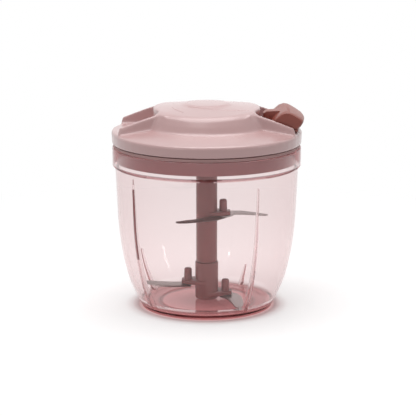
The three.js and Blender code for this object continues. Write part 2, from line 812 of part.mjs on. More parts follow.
// The recoil spring: one flat strip wound outwards at a steady rate
function recoilSpring() {
  const innerRadius = arborRadius + seatGap;
  const outerRadius = reelDrumRadius - reelDrumWall - seatGap - springThickness;
  const steps = springTurns * springSteps;
  const rings = [];
  for (let i = 0; i <= steps; i += 1) {
    const angle = (i / springSteps) * 2 * Math.PI;
    const radius = innerRadius + (outerRadius - innerRadius) * (i / steps);
    const section = [
      [0, springFoot], [springThickness, springFoot], [springThickness, springTop], [0, springTop],
    ];
    rings.push(section.map(([out, z]) => new THREE.Vector3(
      (radius + out) * Math.cos(angle),
      (radius + out) * Math.sin(angle),
      z,
    )));
  }
  return loft(rings);
}

function springLid() {
  const inner = arborRadius + runningGap;
  const outer = reelDrumRadius - reelDrumWall - seatGap;
  return ring(inner, outer, reelTop - springLidThickness, reelTop);
}

// The cord: its turns on the drum, and the run from there through the eyelet into the handle

const eyeletX = channelEndRadius;
const leaveAngle = -Math.acos(windingRadius / eyeletX);

function cordPoint(turn) {
  const angle = leaveAngle - (cordTurns - turn) * 2 * Math.PI;
  return new THREE.Vector3(
    windingRadius * Math.cos(angle),
    windingRadius * Math.sin(angle),
    cordHeight - cordPitch * (cordTurns - turn),
  );
}

// Round tube through points whose two ends run straight for one diameter
function tubeThrough(points, radius, sides) {
  const rings = points.map((point, i) => {
    const ahead = points[Math.min(i + 1, points.length - 1)];
    const behind = points[Math.max(i - 1, 0)];
    const along = ahead.clone().sub(behind).normalize();
    const across = new THREE.Vector3(0, 0, 1).cross(along).normalize();
    const up = along.clone().cross(across);
    const section = [];
    for (let k = 0; k < sides; k += 1) {
      const angle = (k / sides) * 2 * Math.PI;
      section.push(point.clone()
        .addScaledVector(across, radius * Math.cos(angle))
        .addScaledVector(up, radius * Math.sin(angle)));
    }
    return section;
  });
  return loft(rings);
}

function windingPoints() {
  const points = [];
  const steps = cordTurns * cordSteps;
  for (let i = 0; i <= steps; i += 1) points.push(cordPoint(i / cordSteps));
  const start = points[0].clone().sub(points[1]).normalize();
  const inner = points[0].clone().addScaledVector(start, 2 * cordRadius);
  return [inner, ...points];
}

function leadPoints() {
  const leave = cordPoint(cordTurns);
  const eye = new THREE.Vector3(eyeletX, 0, cordExit);
  const way = eye.clone().sub(leave).normalize();
  const start = leave.clone().addScaledVector(way, seatGap);
  const turnIn = new THREE.Vector3(eyeletX - lidWall, 0, cordExit).addScaledVector(way, -2 * cordRadius);
  const bend = new THREE.QuadraticBezierCurve3(
    turnIn,
    new THREE.Vector3(eyeletX - lidWall, 0, cordExit),
    new THREE.Vector3(eyeletX, 0, cordExit),
  );
  const end = new THREE.Vector3(knotPlace.x - knotRadius - seatGap, 0, cordExit);
  const middle = start.clone().lerp(turnIn, 0.5);
  return [start, middle, ...bend.getPoints(6), end];
}

// Least distance between points of the winding that are more than half a turn apart
function windingGap() {
  const points = windingPoints();
  let least = Infinity;
  for (let i = 0; i < points.length; i += 1) {
    for (let k = i + cordSteps / 2; k < points.length; k += 1) {
      least = Math.min(least, points[i].distanceTo(points[k]));
    }
  }
  return least - 2 * cordRadius;
}

function cordEyelet() {
  const bore = cordRadius + seatGap;
  const barrel = bore + eyeletWall;
  const flange = barrel + eyeletFlangeReach;
  const foot = -lidWall;
  const top = seatGap + eyeletFlange;
  const geometry = turned([
    [bore, foot], [barrel, foot], [barrel, seatGap], [flange, seatGap], [flange, top],
    [bore + seatGap, top], [bore, top - seatGap], [bore, foot],
  ], smallSteps);
  geometry.rotateY(Math.PI / 2);
  geometry.translate(channelEndRadius, 0, cordExit);
  return geometry;
}

const knotPlace = new THREE.Vector3(stemStart + 2 * stemHalfWidth + knotRadius / 2, 0, cordExit);

function cordKnot() {
  const geometry = new THREE.SphereGeometry(knotRadius, 12, 8);
  geometry.translate(knotPlace.x, knotPlace.y, knotPlace.z);
  return geometry;
}

// The handle: a bar with a humped section, bowed outwards along its length, on a short flat stem

// Shares of the bar's depth from its inner to its outer side, and of its height
const barSectionShare = [
  [0.08, 0], [0, 0.24], [0.035, 0.49], [0.17, 0.72], [0.305, 0.915], [0.46, 1], [0.575, 0.966],
  [0.69, 0.872], [0.82, 0.735], [0.965, 0.565], [1, 0.46], [0.985, 0.316], [0.93, 0.154], [0.83, 0],
];

function gripBar() {
  const depth = gripOuterX - gripInnerX;
  const stations = [
    [-1, gripEndRound], [-1, 0], [-0.8, 0], [-0.55, 0], [-0.28, 0], [0, 0],
    [0.28, 0], [0.55, 0], [0.8, 0], [1, 0], [1, gripEndRound],
  ];
  const rings = stations.map(([share, round]) => {
    const y = share * (gripHalfLength - (round > 0 ? 0 : gripEndRound));
    const bow = gripBow * (1 - share * share);
    const middleX = gripInnerX + depth / 2;
    const middleZ = gripBottom + gripHeight / 2;
    return barSectionShare.map(([inOut, up]) => {
      const x = gripInnerX + depth * inOut + bow * inOut;
      const z = gripBottom + gripHeight * up;
      const drawIn = 1 - round / gripHeight;
      return new THREE.Vector3(middleX + (x - middleX) * drawIn, y, middleZ + (z - middleZ) * drawIn);
    });
  });
  return loft(rings);
}

function stemShape() {
  const top = gripTop - stemTopDrop;
  const far = gripInnerX + stemRoot;
  const half = stemHalfWidth;
  const round = stemCornerRound;
  const wide = half + stemFlare;
  const plan = new THREE.Shape();
  plan.moveTo(stemStart + round, -half);
  plan.lineTo(far - stemFlare, -half);
  plan.quadraticCurveTo(far, -half, far, -wide);
  plan.lineTo(far + stemFlare, -wide);
  plan.lineTo(far + stemFlare, wide);
  plan.lineTo(far, wide);
  plan.quadraticCurveTo(far, half, far - stemFlare, half);
  plan.lineTo(stemStart + round, half);
  plan.quadraticCurveTo(stemStart, half, stemStart, half - round);
  plan.lineTo(stemStart, round - half);
  plan.quadraticCurveTo(stemStart, -half, stemStart + round, -half);
  return toSolid(prism(plan, gripBottom, top, 4));
}

// Slopes the stem's top down towards its free end
function stemTrim() {
  const top = gripTop - stemTopDrop;
  const side = new THREE.Shape();
  const reach = gripOuterX - stemStart;
  side.moveTo(stemStart - overrun, gripBottom - overrun);
  side.lineTo(gripOuterX, gripBottom - overrun);
  side.lineTo(gripOuterX, gripTop);
  side.lineTo(gripInnerX + reach / 4, top);
  side.lineTo(stemStart + stemCornerRound, top - stemCornerRound / 4);
  side.lineTo(stemStart, top - stemCornerRound);
  side.lineTo(stemStart - overrun, top - stemCornerRound);
  side.closePath();
  const width = 4 * stemHalfWidth;
  const geometry = new THREE.ExtrudeGeometry(side, { depth: 2 * width, bevelEnabled: false });
  geometry.translate(0, 0, -width);
  geometry.rotateX(Math.PI / 2);
  return toSolid(geometry);
}

function knotPocket() {
  const start = stemStart + 2 * stemHalfWidth - seatGap - knotRadius;
  const top = cordExit + knotPocketHalfWidth;
  const foot = gripBottom - overrun;
  const geometry = new THREE.BoxGeometry(knotPocketLength, 2 * knotPocketHalfWidth, top - foot);
  geometry.translate(start + knotPocketLength / 2, 0, (top + foot) / 2);
  return toSolid(geometry);
}

function handleGrip() {
  const bore = rod(cordRadius + seatGap, 0, 3 * stemHalfWidth, tinySteps);
  bore.rotateY(Math.PI / 2);
  bore.translate(stemStart - overrun, 0, cordExit);
  const stem = stemShape().intersect(stemTrim());
  return toSolid(gripBar()).add(stem).subtract(knotPocket()).subtract(toSolid(bore));
}

function handleCap() {
  const foot = gripBottom - seatGap - capThickness;
  const plan = new THREE.Shape();
  const start = gripInnerX + capInset;
  const end = gripOuterX - 2 * capInset;
  const half = gripHalfLength - capInset;
  const round = 2 * capInset;
  plan.moveTo(start + round, -half);
  plan.lineTo(end - round, -half);
  plan.quadraticCurveTo(end, -half, end, round - half);
  plan.quadraticCurveTo(end + gripBow, 0, end, half - round);
  plan.quadraticCurveTo(end, half, end - round, half);
  plan.lineTo(start + round, half);
  plan.quadraticCurveTo(start, half, start, half - round);
  plan.lineTo(start, round - half);
  plan.quadraticCurveTo(start, -half, start + round, -half);
  return prism(plan, foot, foot + capThickness, 4);
}

// The blade stack: a lower hub and an upper shaft plugged into it, with arms, pegs and curved blades

// Where an arm's side bulges out beside its root, along and across, in shares of the root's radius
const armSwellShare = [0.8, 1.2];

// An arm that grows out of a round root in a sweep, with a peg near its rounded end
function armWithPeg(direction, foot, root, reach, pegAt) {
  const half = armHalfWidth;
  const bend = reach - armCornerRadius;
  const [swellAlong, swellAcross] = armSwellShare.map((share) => share * root);
  const plan = new THREE.Shape();
  plan.moveTo(0, -root);
  plan.quadraticCurveTo(swellAlong, -swellAcross, bend, -half);
  plan.quadraticCurveTo(reach, -half, reach, armCornerRadius - half);
  plan.lineTo(reach, half - armCornerRadius);
  plan.quadraticCurveTo(reach, half, bend, half);
  plan.quadraticCurveTo(swellAlong, swellAcross, 0, root);
  plan.closePath();
  const top = foot + armThickness;
  const tip = top + pegHeight;
  const slim = pegRadius - pegTaper;
  const shoulder = pegRound * (1 - Math.SQRT1_2);
  const peg = turned([
    [0, top - armThickness / 2], [pegRadius, top - armThickness / 2], [pegRadius, top],
    [slim, tip - pegRound], [slim - shoulder, tip - shoulder], [slim - pegRound, tip], [0, tip],
  ], smallSteps);
  peg.translate(pegAt, 0, 0);
  const arm = toSolid(prism(plan, foot, top, 4)).add(toSolid(peg));
  return toSolid(turnAbout(toGeometry(arm), direction));
}

function upperShaft() {
  const socketFoot = shaftTop - driverHexLength - seatGap;
  const socket = prism(polygonShape(driverHexRadius + seatGap, 6), socketFoot, shaftTop + overrun);
  const body = toSolid(turned([
    [0, hubTop + seatGap], [shaftRadius, hubTop + seatGap], [shaftRadius, shaftTop], [0, shaftTop],
  ], roundSteps));
  const spigot = prism(polygonShape(spigotHexRadius, 6), hubTop - spigotLength, hubTop + 2 * seatGap);
  const arm = armWithPeg(0, upperArmFoot, shaftRadius, upperArmReach, upperPegCircle);
  return body.add(toSolid(spigot)).add(arm).subtract(toSolid(socket));
}

function lowerHub() {
  const chamfer = hubRadius - shaftRadius;
  const body = toSolid(turned([
    [0, hubFoot], [hubRadius - chamfer, hubFoot], [hubRadius, hubFoot + chamfer],
    [hubRadius, hubTop - chamfer / 3], [hubRadius - chamfer / 3, hubTop], [0, hubTop],
  ], roundSteps));
  const socketFoot = hubTop - spigotLength - seatGap;
  const socket = prism(polygonShape(spigotHexRadius + seatGap, 6), socketFoot, hubTop + overrun);
  const pinTop = bowlFloorTop - pivotPinSeat + pivotPinLength + 2 * seatGap;
  const bore = rod(pivotPinRadius + runningGap, hubFoot - overrun, pinTop);
  const leftArm = armWithPeg(Math.PI, leftArmFoot, hubRadius, lowerArmReach, lowerPegCircle);
  const rightArm = armWithPeg(0, rightArmFoot, hubRadius, lowerArmReach, lowerPegCircle);
  return body.add(leftArm).add(rightArm).subtract(toSolid(socket)).subtract(toSolid(bore));
}

// A flat blade from stations along its length. Each gives, as shares of the blade's reach, where the
// ground edge and the back run.
function blade(stations, reach, foot) {
  const rings = stations.map(([edgeX, edgeY, backX, backY]) => {
    const edge = new THREE.Vector2(edgeX * reach, edgeY * reach);
    const back = new THREE.Vector2(backX * reach, backY * reach);
    const width = edge.distanceTo(back);
    const bevel = Math.min(bladeBevel, width / 2) / width;
    const ground = edge.clone().lerp(back, bevel);
    return [
      new THREE.Vector3(edge.x, edge.y, foot),
      new THREE.Vector3(back.x, back.y, foot),
      new THREE.Vector3(back.x, back.y, foot + bladeThickness),
      new THREE.Vector3(ground.x, ground.y, foot + bladeThickness),
      new THREE.Vector3(edge.x, edge.y, foot + bladeEdge),
    ];
  });
  return loft(rings);
}

// Stations run along each blade in the order edge x, edge y, back x, back y

// The upper blade's wing that sweeps round the front of the shaft, with its edge in front
const upperInnerShare = [
  [-0.496, -0.532, -0.491, -0.512], [-0.445, -0.57, -0.43, -0.485], [-0.325, -0.562, -0.32, -0.408],
  [-0.193, -0.514, -0.19, -0.35], [0, -0.427, -0.02, -0.2], [0.17, -0.345, 0.13, -0.115],
  [0.25, -0.238, 0.21, 0.08], [0.325, -0.149, 0.24, 0.23],
];

// The wing that points to the side, with its edge behind
const upperOuterShare = [
  [0.19, 0.3, 0.21, -0.19], [0.3, 0.365, 0.325, -0.135], [0.396, 0.384, 0.4, -0.045],
  [0.474, 0.384, 0.465, 0.085], [0.6, 0.37, 0.59, 0.082], [0.757, 0.281, 0.757, 0.05],
  [0.889, 0.19, 0.889, 0], [0.97, 0.095, 0.965, -0.005], [1, 0.045, 0.998, 0.028],
];

const lowerLeftShare = [
  [-0.995, 0.065, -1, 0.085], [-0.95, 0.03, -0.94, 0.135], [-0.88, -0.04, -0.87, 0.135],
  [-0.79, -0.105, -0.79, 0.117], [-0.66, -0.168, -0.65, 0.092], [-0.5, -0.184, -0.5, 0.071],
  [-0.37, -0.177, -0.37, 0.078], [-0.24, -0.15, -0.24, 0.08],
];

const lowerRightShare = [
  [0.22, 0.123, 0.22, -0.116], [0.333, 0.185, 0.308, -0.207], [0.448, 0.182, 0.352, -0.296],
  [0.527, 0.103, 0.379, -0.382], [0.591, -0.062, 0.401, -0.456], [0.616, -0.276, 0.424, -0.53],
  [0.616, -0.468, 0.441, -0.616], [0.601, -0.653, 0.458, -0.714], [0.571, -0.776, 0.483, -0.796],
  [0.534, -0.85, 0.517, -0.845],
];

function upperBlade() {
  const foot = upperArmFoot - bladeDrop;
  const inner = toSolid(blade(upperInnerShare, upperBladeReach, foot));
  const outer = toSolid(blade(upperOuterShare, upperBladeReach, foot));
  const bore = toSolid(rod(shaftRadius + seatGap, foot - overrun, foot + overrun, roundSteps));
  return inner.add(outer).subtract(bore);
}

function lowerBlade(stations, reach, armFoot) {
  const foot = armFoot - bladeDrop;
  const body = toSolid(blade(stations, reach, foot));
  return body.subtract(toSolid(rod(hubRadius + seatGap, foot - overrun, foot + overrun, roundSteps)));
}

// Assembly

place('bowl', bowl(), looks.clearPink);
place('bowl_pivot_pin', pivotPin(), looks.steel);
place('lid_cover', lidCover(), looks.mattePink);
place('lid_base', lidBase(), looks.darkRose);
place('lid_seal', lidSeal(), looks.paleSilicone);
screwPlaces().forEach(([x, y], i) => {
  place(`cover_screw_${i + 1}`, coverScrew().translate(x, y, 0), looks.steel);
});
place('drive_bush', driveBush(), looks.whitePlastic);
place('drive_spindle', driveSpindle(), looks.whitePlastic);
for (let i = 0; i < pawlCount; i += 1) place(`pawl_${i + 1}`, pawl(i), looks.steel);
place('ratchet_ring', ratchetRing(), looks.whitePlastic);
place('cord_reel', cordReel(), looks.whitePlastic);
place('reel_axle', reelAxle(), looks.steel);
place('spring_arbor', springArbor(), looks.whitePlastic);
place('recoil_spring', recoilSpring(), looks.steel);
place('spring_lid', springLid(), looks.whitePlastic);
place('cord_winding', tubeThrough(windingPoints(), cordRadius, cordSides), looks.cordPink);
place('cord_lead', tubeThrough(leadPoints(), cordRadius, cordSides), looks.cordPink);
place('cord_eyelet', cordEyelet(), looks.steel);
place('cord_knot', cordKnot(), looks.cordPink);
place('handle_grip', handleGrip(), looks.brownRose);
place('handle_cap', handleCap(), looks.brownRose);
place('upper_shaft', upperShaft(), looks.shaftRose);
place('lower_hub', lowerHub(), looks.shaftRose);
place('upper_blade', upperBlade(), looks.steel);
place('lower_left_blade', lowerBlade(lowerLeftShare, leftBladeReach, leftArmFoot), looks.steel);
place('lower_right_blade', lowerBlade(lowerRightShare, rightBladeReach, rightArmFoot), looks.steel);

console.log(`least gap between turns of the cord: ${windingGap().toFixed(2)} mm`);

export default chopper;
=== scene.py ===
# %% [markdown]
# A pull-cord vegetable chopper: a clear pink bowl, a matte lid with a T-handle docked in its channel,
# and a stack of curved blades seen through the bowl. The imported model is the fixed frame, so every new
# piece is made where the frame's boxes say. Lengths are in metres, +Z is up and the handle is at +X.

# %% Load the frame
import json
import math

import bmesh
import bpy
from mathutils import Matrix, Vector
from mathutils.bvhtree import BVHTree


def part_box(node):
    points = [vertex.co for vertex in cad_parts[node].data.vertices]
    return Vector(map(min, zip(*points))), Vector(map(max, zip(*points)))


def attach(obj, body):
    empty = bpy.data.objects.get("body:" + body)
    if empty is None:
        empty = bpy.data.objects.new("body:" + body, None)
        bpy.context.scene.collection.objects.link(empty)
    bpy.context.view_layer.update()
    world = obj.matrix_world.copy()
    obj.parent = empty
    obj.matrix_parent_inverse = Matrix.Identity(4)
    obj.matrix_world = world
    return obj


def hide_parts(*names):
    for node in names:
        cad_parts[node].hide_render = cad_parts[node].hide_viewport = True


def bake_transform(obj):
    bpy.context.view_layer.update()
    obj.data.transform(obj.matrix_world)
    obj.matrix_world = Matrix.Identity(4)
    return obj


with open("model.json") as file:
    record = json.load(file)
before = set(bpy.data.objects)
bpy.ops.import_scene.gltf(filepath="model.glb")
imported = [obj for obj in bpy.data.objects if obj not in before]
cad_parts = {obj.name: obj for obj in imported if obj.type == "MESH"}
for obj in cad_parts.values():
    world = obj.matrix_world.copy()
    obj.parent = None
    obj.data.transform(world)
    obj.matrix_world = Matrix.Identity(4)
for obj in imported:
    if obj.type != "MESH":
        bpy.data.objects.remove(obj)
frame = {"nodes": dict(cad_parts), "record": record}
scene = bpy.context.scene
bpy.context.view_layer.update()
MM = 0.001

# %% [markdown]
# The photograph was taken with a long lens from about 1.2 m away and 0.32 m up, looking a little down.
# The view was found by fitting the bowl's rings, which show as ellipses, so the camera is placed by
# plain measures and not by eye. A small sideways shift puts the bowl where the photograph has it.

# %% Camera
PHOTO_SIDE_PX = 416
PHOTO_FOCAL_PX = 1702.9
AXIS_PX = 206.7
SENSOR_MM = 36
CAMERA_BACK = 1.150
CAMERA_UP = 0.3199
CAMERA_PITCH_DEG = 12.382

camera = bpy.data.objects.new("camera", bpy.data.cameras.new("camera"))
scene.collection.objects.link(camera)
camera.location = (0, -CAMERA_BACK, CAMERA_UP)
camera.rotation_euler = (math.radians(90 - CAMERA_PITCH_DEG), 0, 0)
camera.data.sensor_width = SENSOR_MM
camera.data.lens = SENSOR_MM * PHOTO_FOCAL_PX / PHOTO_SIDE_PX
camera.data.shift_x = (PHOTO_SIDE_PX / 2 - AXIS_PX) / PHOTO_SIDE_PX
scene.camera = camera
scene.view_settings.view_transform = "Standard"
print("lens", round(camera.data.lens, 2), "mm")

# %% [markdown]
# Light that enters clear plastic may be reflected many times inside it before it leaves. With few bounces
# such a path ends early and leaves a black patch, so the clear bowl needs a generous limit.

# %% Bounces for clear plastic
CLEAR_BOUNCES = 48
SPARE_BOUNCES = 16
scene.cycles.max_bounces = CLEAR_BOUNCES + SPARE_BOUNCES
for kind in ("glossy_bounces", "transmission_bounces", "transparent_max_bounces"):
    setattr(scene.cycles, kind, CLEAR_BOUNCES)
print("bounces", scene.cycles.max_bounces)

# %% [markdown]
# A material is a small network of nodes. These helpers keep each network short: one makes a colour from
# the 0 to 255 numbers of a paint chart, one adds a node, and one starts a material from plain settings.

# %% Helpers for materials
def paint(red, green, blue):
    def linear(level):
        share = level / 255
        return share / 12.92 if share <= 0.04045 else ((share + 0.055) / 1.055) ** 2.4
    return (linear(red), linear(green), linear(blue), 1.0)


def add_node(tree, kind, **settings):
    node = tree.nodes.new(kind)
    for key, value in settings.items():
        setattr(node, key, value)
    return node


def set_inputs(node, values):
    for key, value in values.items():
        node.inputs[key].default_value = value
    return node


def start_material(name, **values):
    material = bpy.data.materials.new(name)
    material.use_nodes = True
    tree = material.node_tree
    shader = tree.nodes["Principled BSDF"]
    set_inputs(shader, {key.replace("_", " "): value for key, value in values.items()})
    return material, tree, shader


print("a mid grey of 128 gives", round(paint(128, 128, 128)[0], 3), "of full light")

# %% [markdown]
# Each effect on the object is a sum or a mix of a few simple fields. Written out node by node it would be
# long, so four helpers make a group with its sockets, one noise, one sum and one mix. With them an effect
# reads like a formula.

# %% Helpers for effects
def new_group(name, inputs, outputs):
    group = bpy.data.node_groups.new(name, "ShaderNodeTree")
    for label, kind, value in inputs:
        socket = group.interface.new_socket(label, in_out="INPUT", socket_type=kind)
        socket.default_value = value
    for label, kind in outputs:
        group.interface.new_socket(label, in_out="OUTPUT", socket_type=kind)
    return group, group.nodes.new("NodeGroupInput"), group.nodes.new("NodeGroupOutput")


def noise(tree, vector, scale, detail=3.0, roughness=0.5):
    node = add_node(tree, "ShaderNodeTexNoise")
    set_inputs(node, {"Scale": scale, "Detail": detail, "Roughness": roughness})
    tree.links.new(vector, node.inputs["Vector"])
    return node.outputs["Fac"]


def maths(tree, operation, first, second, third=None):
    node = add_node(tree, "ShaderNodeMath", operation=operation)
    for index, value in enumerate((first, second, third)):
        if value is None:
            continue
        if isinstance(value, (int, float)):
            node.inputs[index].default_value = value
        else:
            tree.links.new(value, node.inputs[index])
    return node.outputs[0]


def mix_colour(tree, share, first, second, blend="MIX"):
    node = add_node(tree, "ShaderNodeMix", data_type="RGBA", blend_type=blend)
    for socket, value in ((node.inputs[0], share), (node.inputs[6], first), (node.inputs[7], second)):
        if hasattr(value, "node"):
            tree.links.new(value, socket)
        else:
            socket.default_value = value
    return node.outputs[2]


print("helpers", [helper.__name__ for helper in (new_group, noise, maths, mix_colour)])

# %% [markdown]
# Moulded plastic is never one flat colour. Its skin has a fine grain from the mould, and the colour
# drifts a little over a hand's width. A picture could carry both, but it would stretch on round forms. So
# both come from noise on Object coordinates, made once as a group and placed in every plastic.

# %% Effect: moulded skin
SPECK = 0.04
ROUGHNESS_SWING = 0.16


def moulded_skin_group():
    group, given, made = new_group(
        "moulded_skin",
        [("Base", "NodeSocketColor", (0.5, 0.5, 0.5, 1)), ("Drift", "NodeSocketFloat", 0.05),
         ("Grain Scale", "NodeSocketFloat", 1200.0), ("Roughness", "NodeSocketFloat", 0.5)],
        [("Colour", "NodeSocketColor"), ("Roughness", "NodeSocketFloat"), ("Height", "NodeSocketFloat")],
    )
    place = add_node(group, "ShaderNodeTexCoord").outputs["Object"]
    wide = noise(group, place, scale=22.0, detail=2.0)
    fine_node = add_node(group, "ShaderNodeTexNoise")
    set_inputs(fine_node, {"Detail": 4.0, "Roughness": 0.6})
    group.links.new(place, fine_node.inputs["Vector"])
    group.links.new(given.outputs["Grain Scale"], fine_node.inputs["Scale"])
    fine = fine_node.outputs["Fac"]
    swing = maths(group, "SUBTRACT", wide, 0.5)
    shift = maths(group, "MULTIPLY_ADD", swing, given.outputs["Drift"], 1.0)
    speck = maths(group, "MULTIPLY_ADD", fine, SPECK, 1 - SPECK / 2)
    level = maths(group, "MULTIPLY", shift, speck)
    grey = add_node(group, "ShaderNodeCombineColor")
    for channel in ("Red", "Green", "Blue"):
        group.links.new(level, grey.inputs[channel])
    colour = mix_colour(group, 1.0, given.outputs["Base"], grey.outputs[0], "MULTIPLY")
    rough = maths(group, "MULTIPLY_ADD", fine, ROUGHNESS_SWING, -ROUGHNESS_SWING / 2)
    rough = maths(group, "ADD", rough, given.outputs["Roughness"])
    group.links.new(colour, made.inputs["Colour"])
    group.links.new(rough, made.inputs["Roughness"])
    group.links.new(fine, made.inputs["Height"])
    return group


moulded_skin = moulded_skin_group()
print("effect group", moulded_skin.name)

# %% [markdown]
# The matte lid, the satin handle and the glossier inner parts are one family of plastics. A function
# places the skin group and sets grain, gloss and the depth of the bump for each.

# %% Material: moulded plastics
COLOUR_DRIFT = 0.05
GRAIN_STRENGTH = 0.35
GRAIN_DEPTH = 0.05 * MM
FINE_GRAIN = (2600.0, GRAIN_DEPTH)
SMOOTH_GRAIN = (900.0, GRAIN_DEPTH / 2)


def plastic(name, colour, grain, roughness, **values):
    grain_scale, grain_depth = grain
    material, tree, shader = start_material(name, Roughness=roughness, **values)
    skin = add_node(tree, "ShaderNodeGroup", node_tree=moulded_skin)
    set_inputs(
        skin, {"Base": colour, "Drift": COLOUR_DRIFT, "Grain Scale": grain_scale, "Roughness": roughness}
    )
    bump = add_node(tree, "ShaderNodeBump")
    set_inputs(bump, {"Strength": GRAIN_STRENGTH, "Distance": grain_depth})
    tree.links.new(skin.outputs["Height"], bump.inputs["Height"])
    tree.links.new(skin.outputs["Colour"], shader.inputs["Base Color"])
    tree.links.new(skin.outputs["Roughness"], shader.inputs["Roughness"])
    tree.links.new(bump.outputs["Normal"], shader.inputs["Normal"])
    return material


lid_pink = plastic(
    "matte_pink_plastic", paint(201, 163, 162), FINE_GRAIN, roughness=0.34, IOR=1.5,
    Coat_Weight=0.85, Coat_Roughness=0.26,
)
seal_pink = plastic("pale_silicone", paint(204, 168, 166), FINE_GRAIN, roughness=0.5)
base_rose = plastic("dark_rose_plastic", paint(156, 96, 97), SMOOTH_GRAIN, roughness=0.35)
shaft_rose = plastic("shaft_rose_plastic", paint(138, 78, 75), SMOOTH_GRAIN, roughness=0.32)
handle_brown = plastic("handle_brown_plastic", paint(143, 73, 61), FINE_GRAIN, roughness=0.36)
# painted shade: an opaque deep rose for the strands that stand in for the dark line along a clear rib
painted_rib_shade = plastic("painted_rib_shade_plastic", paint(168, 80, 80), SMOOTH_GRAIN, roughness=0.8, IOR=1.2)
inner_white = plastic("inner_white_plastic", paint(228, 222, 216), SMOOTH_GRAIN, roughness=0.45)
print("plastics from", lid_pink.name, "to", inner_white.name)

# %% [markdown]
# The bowl is clear, pink-tinted plastic. Real tinted plastic takes its colour from its thickness: a look
# through the thin wall is pale, and a look along the wall or through the thick foot is deep. So the
# surface is colourless and a volume of absorption tints it. Shadow rays pass straight through with a
# light tint, or the bowl would cast the shadow of a solid block. Light that runs round inside a rib or
# the rim leaves it after a few reflections, so edges show deep rose and not black. For the same reason
# the foot's lowest part and the rim's lower ledge let most of the light straight through.

# %% Material: clear tinted plastic
LAST_CLEAR_DEPTH = 6.5
FOOT_UNDERSIDE = 1.8 * MM
FOOT_OPEN = 0.9
LEDGE_HEIGHT = 98.9 * MM
LEDGE_REACH = 1.1 * MM
LEDGE_OPEN = 0.7


def clear_plastic():
    material, tree, shader = start_material(
        "clear_pink_plastic", Roughness=0.015, IOR=1.45, Metallic=0.0, Transmission_Weight=1.0,
        Base_Color=(1.0, 1.0, 1.0, 1.0),
    )
    place = add_node(tree, "ShaderNodeTexCoord").outputs["Object"]
    flow = noise(tree, place, scale=60.0, detail=2.0)
    bump = add_node(tree, "ShaderNodeBump")
    set_inputs(bump, {"Strength": 0.05, "Distance": 0.1 * MM})
    tree.links.new(flow, bump.inputs["Height"])
    tree.links.new(bump.outputs["Normal"], shader.inputs["Normal"])
    through = add_node(tree, "ShaderNodeBsdfTransparent")
    through.inputs["Color"].default_value = paint(244, 226, 227)
    path = add_node(tree, "ShaderNodeLightPath")
    deep = maths(tree, "GREATER_THAN", path.outputs["Ray Depth"], LAST_CLEAR_DEPTH)
    parts = add_node(tree, "ShaderNodeSeparateXYZ")
    tree.links.new(place, parts.inputs[0])
    under = maths(tree, "LESS_THAN", parts.outputs["Z"], FOOT_UNDERSIDE)
    ledge = maths(tree, "COMPARE", parts.outputs["Z"], LEDGE_HEIGHT, LEDGE_REACH)
    leaves = maths(tree, "MAXIMUM", deep, maths(tree, "MULTIPLY", under, FOOT_OPEN))
    leaves = maths(tree, "MAXIMUM", leaves, maths(tree, "MULTIPLY", ledge, LEDGE_OPEN))
    mix = add_node(tree, "ShaderNodeMixShader")
    tree.links.new(maths(tree, "MAXIMUM", path.outputs["Is Shadow Ray"], leaves), mix.inputs[0])
    tree.links.new(shader.outputs[0], mix.inputs[1])
    tree.links.new(through.outputs[0], mix.inputs[2])
    out = tree.nodes["Material Output"]
    tree.links.new(mix.outputs[0], out.inputs["Surface"])
    tint = add_node(tree, "ShaderNodeVolumeAbsorption")
    set_inputs(tint, {"Color": paint(203, 137, 137), "Density": 110.0})
    tree.links.new(tint.outputs[0], out.inputs["Volume"])
    return material


bowl_clear = clear_plastic()
print("clear plastic", bowl_clear.name)

# %% [markdown]
# The blades are thin stainless steel, and their satin comes from fine parallel scratches. A picture of
# scratches would show its edges, so noise is stretched along one direction instead: it changes the
# roughness and lifts the surface by a hair. Pins, screws and the axle are brighter turned steel.

# %% Effect and material: brushed steel
def brushed_lines_group():
    group, given, made = new_group(
        "brushed_lines",
        [("Stretch", "NodeSocketVector", (1.0, 1.0, 1.0)), ("Roughness", "NodeSocketFloat", 0.3),
         ("Spread", "NodeSocketFloat", 0.15)],
        [("Roughness", "NodeSocketFloat"), ("Height", "NodeSocketFloat")],
    )
    place = add_node(group, "ShaderNodeTexCoord").outputs["Object"]
    stretch = add_node(group, "ShaderNodeVectorMath", operation="MULTIPLY")
    group.links.new(place, stretch.inputs[0])
    group.links.new(given.outputs["Stretch"], stretch.inputs[1])
    lines = noise(group, stretch.outputs[0], scale=1.0, detail=4.0, roughness=0.7)
    rough = maths(group, "MULTIPLY_ADD", lines, given.outputs["Spread"], given.outputs["Roughness"])
    group.links.new(rough, made.inputs["Roughness"])
    group.links.new(lines, made.inputs["Height"])
    return group


brushed_lines = brushed_lines_group()


def steel(name, colour, roughness, stretch, spread=0.15):
    material, tree, shader = start_material(name, Metallic=1.0, Base_Color=colour)
    lines = add_node(tree, "ShaderNodeGroup", node_tree=brushed_lines)
    set_inputs(lines, {"Stretch": stretch, "Roughness": roughness, "Spread": spread})
    bump = add_node(tree, "ShaderNodeBump")
    set_inputs(bump, {"Strength": 0.2, "Distance": 0.02 * MM})
    tree.links.new(lines.outputs["Height"], bump.inputs["Height"])
    tree.links.new(lines.outputs["Roughness"], shader.inputs["Roughness"])
    tree.links.new(bump.outputs["Normal"], shader.inputs["Normal"])
    return material


blade_steel = steel(
    "blade_steel", paint(176, 170, 168), roughness=0.28, stretch=(120.0, 2600.0, 2600.0)
)
bright_steel = steel(
    "bright_steel", paint(196, 194, 192), roughness=0.16, stretch=(2200.0, 2200.0, 90.0), spread=0.1
)
spring_steel = steel(
    "spring_steel", paint(118, 118, 124), roughness=0.3, stretch=(60.0, 60.0, 3000.0)
)
print("steels", blade_steel.name, bright_steel.name, spring_steel.name)

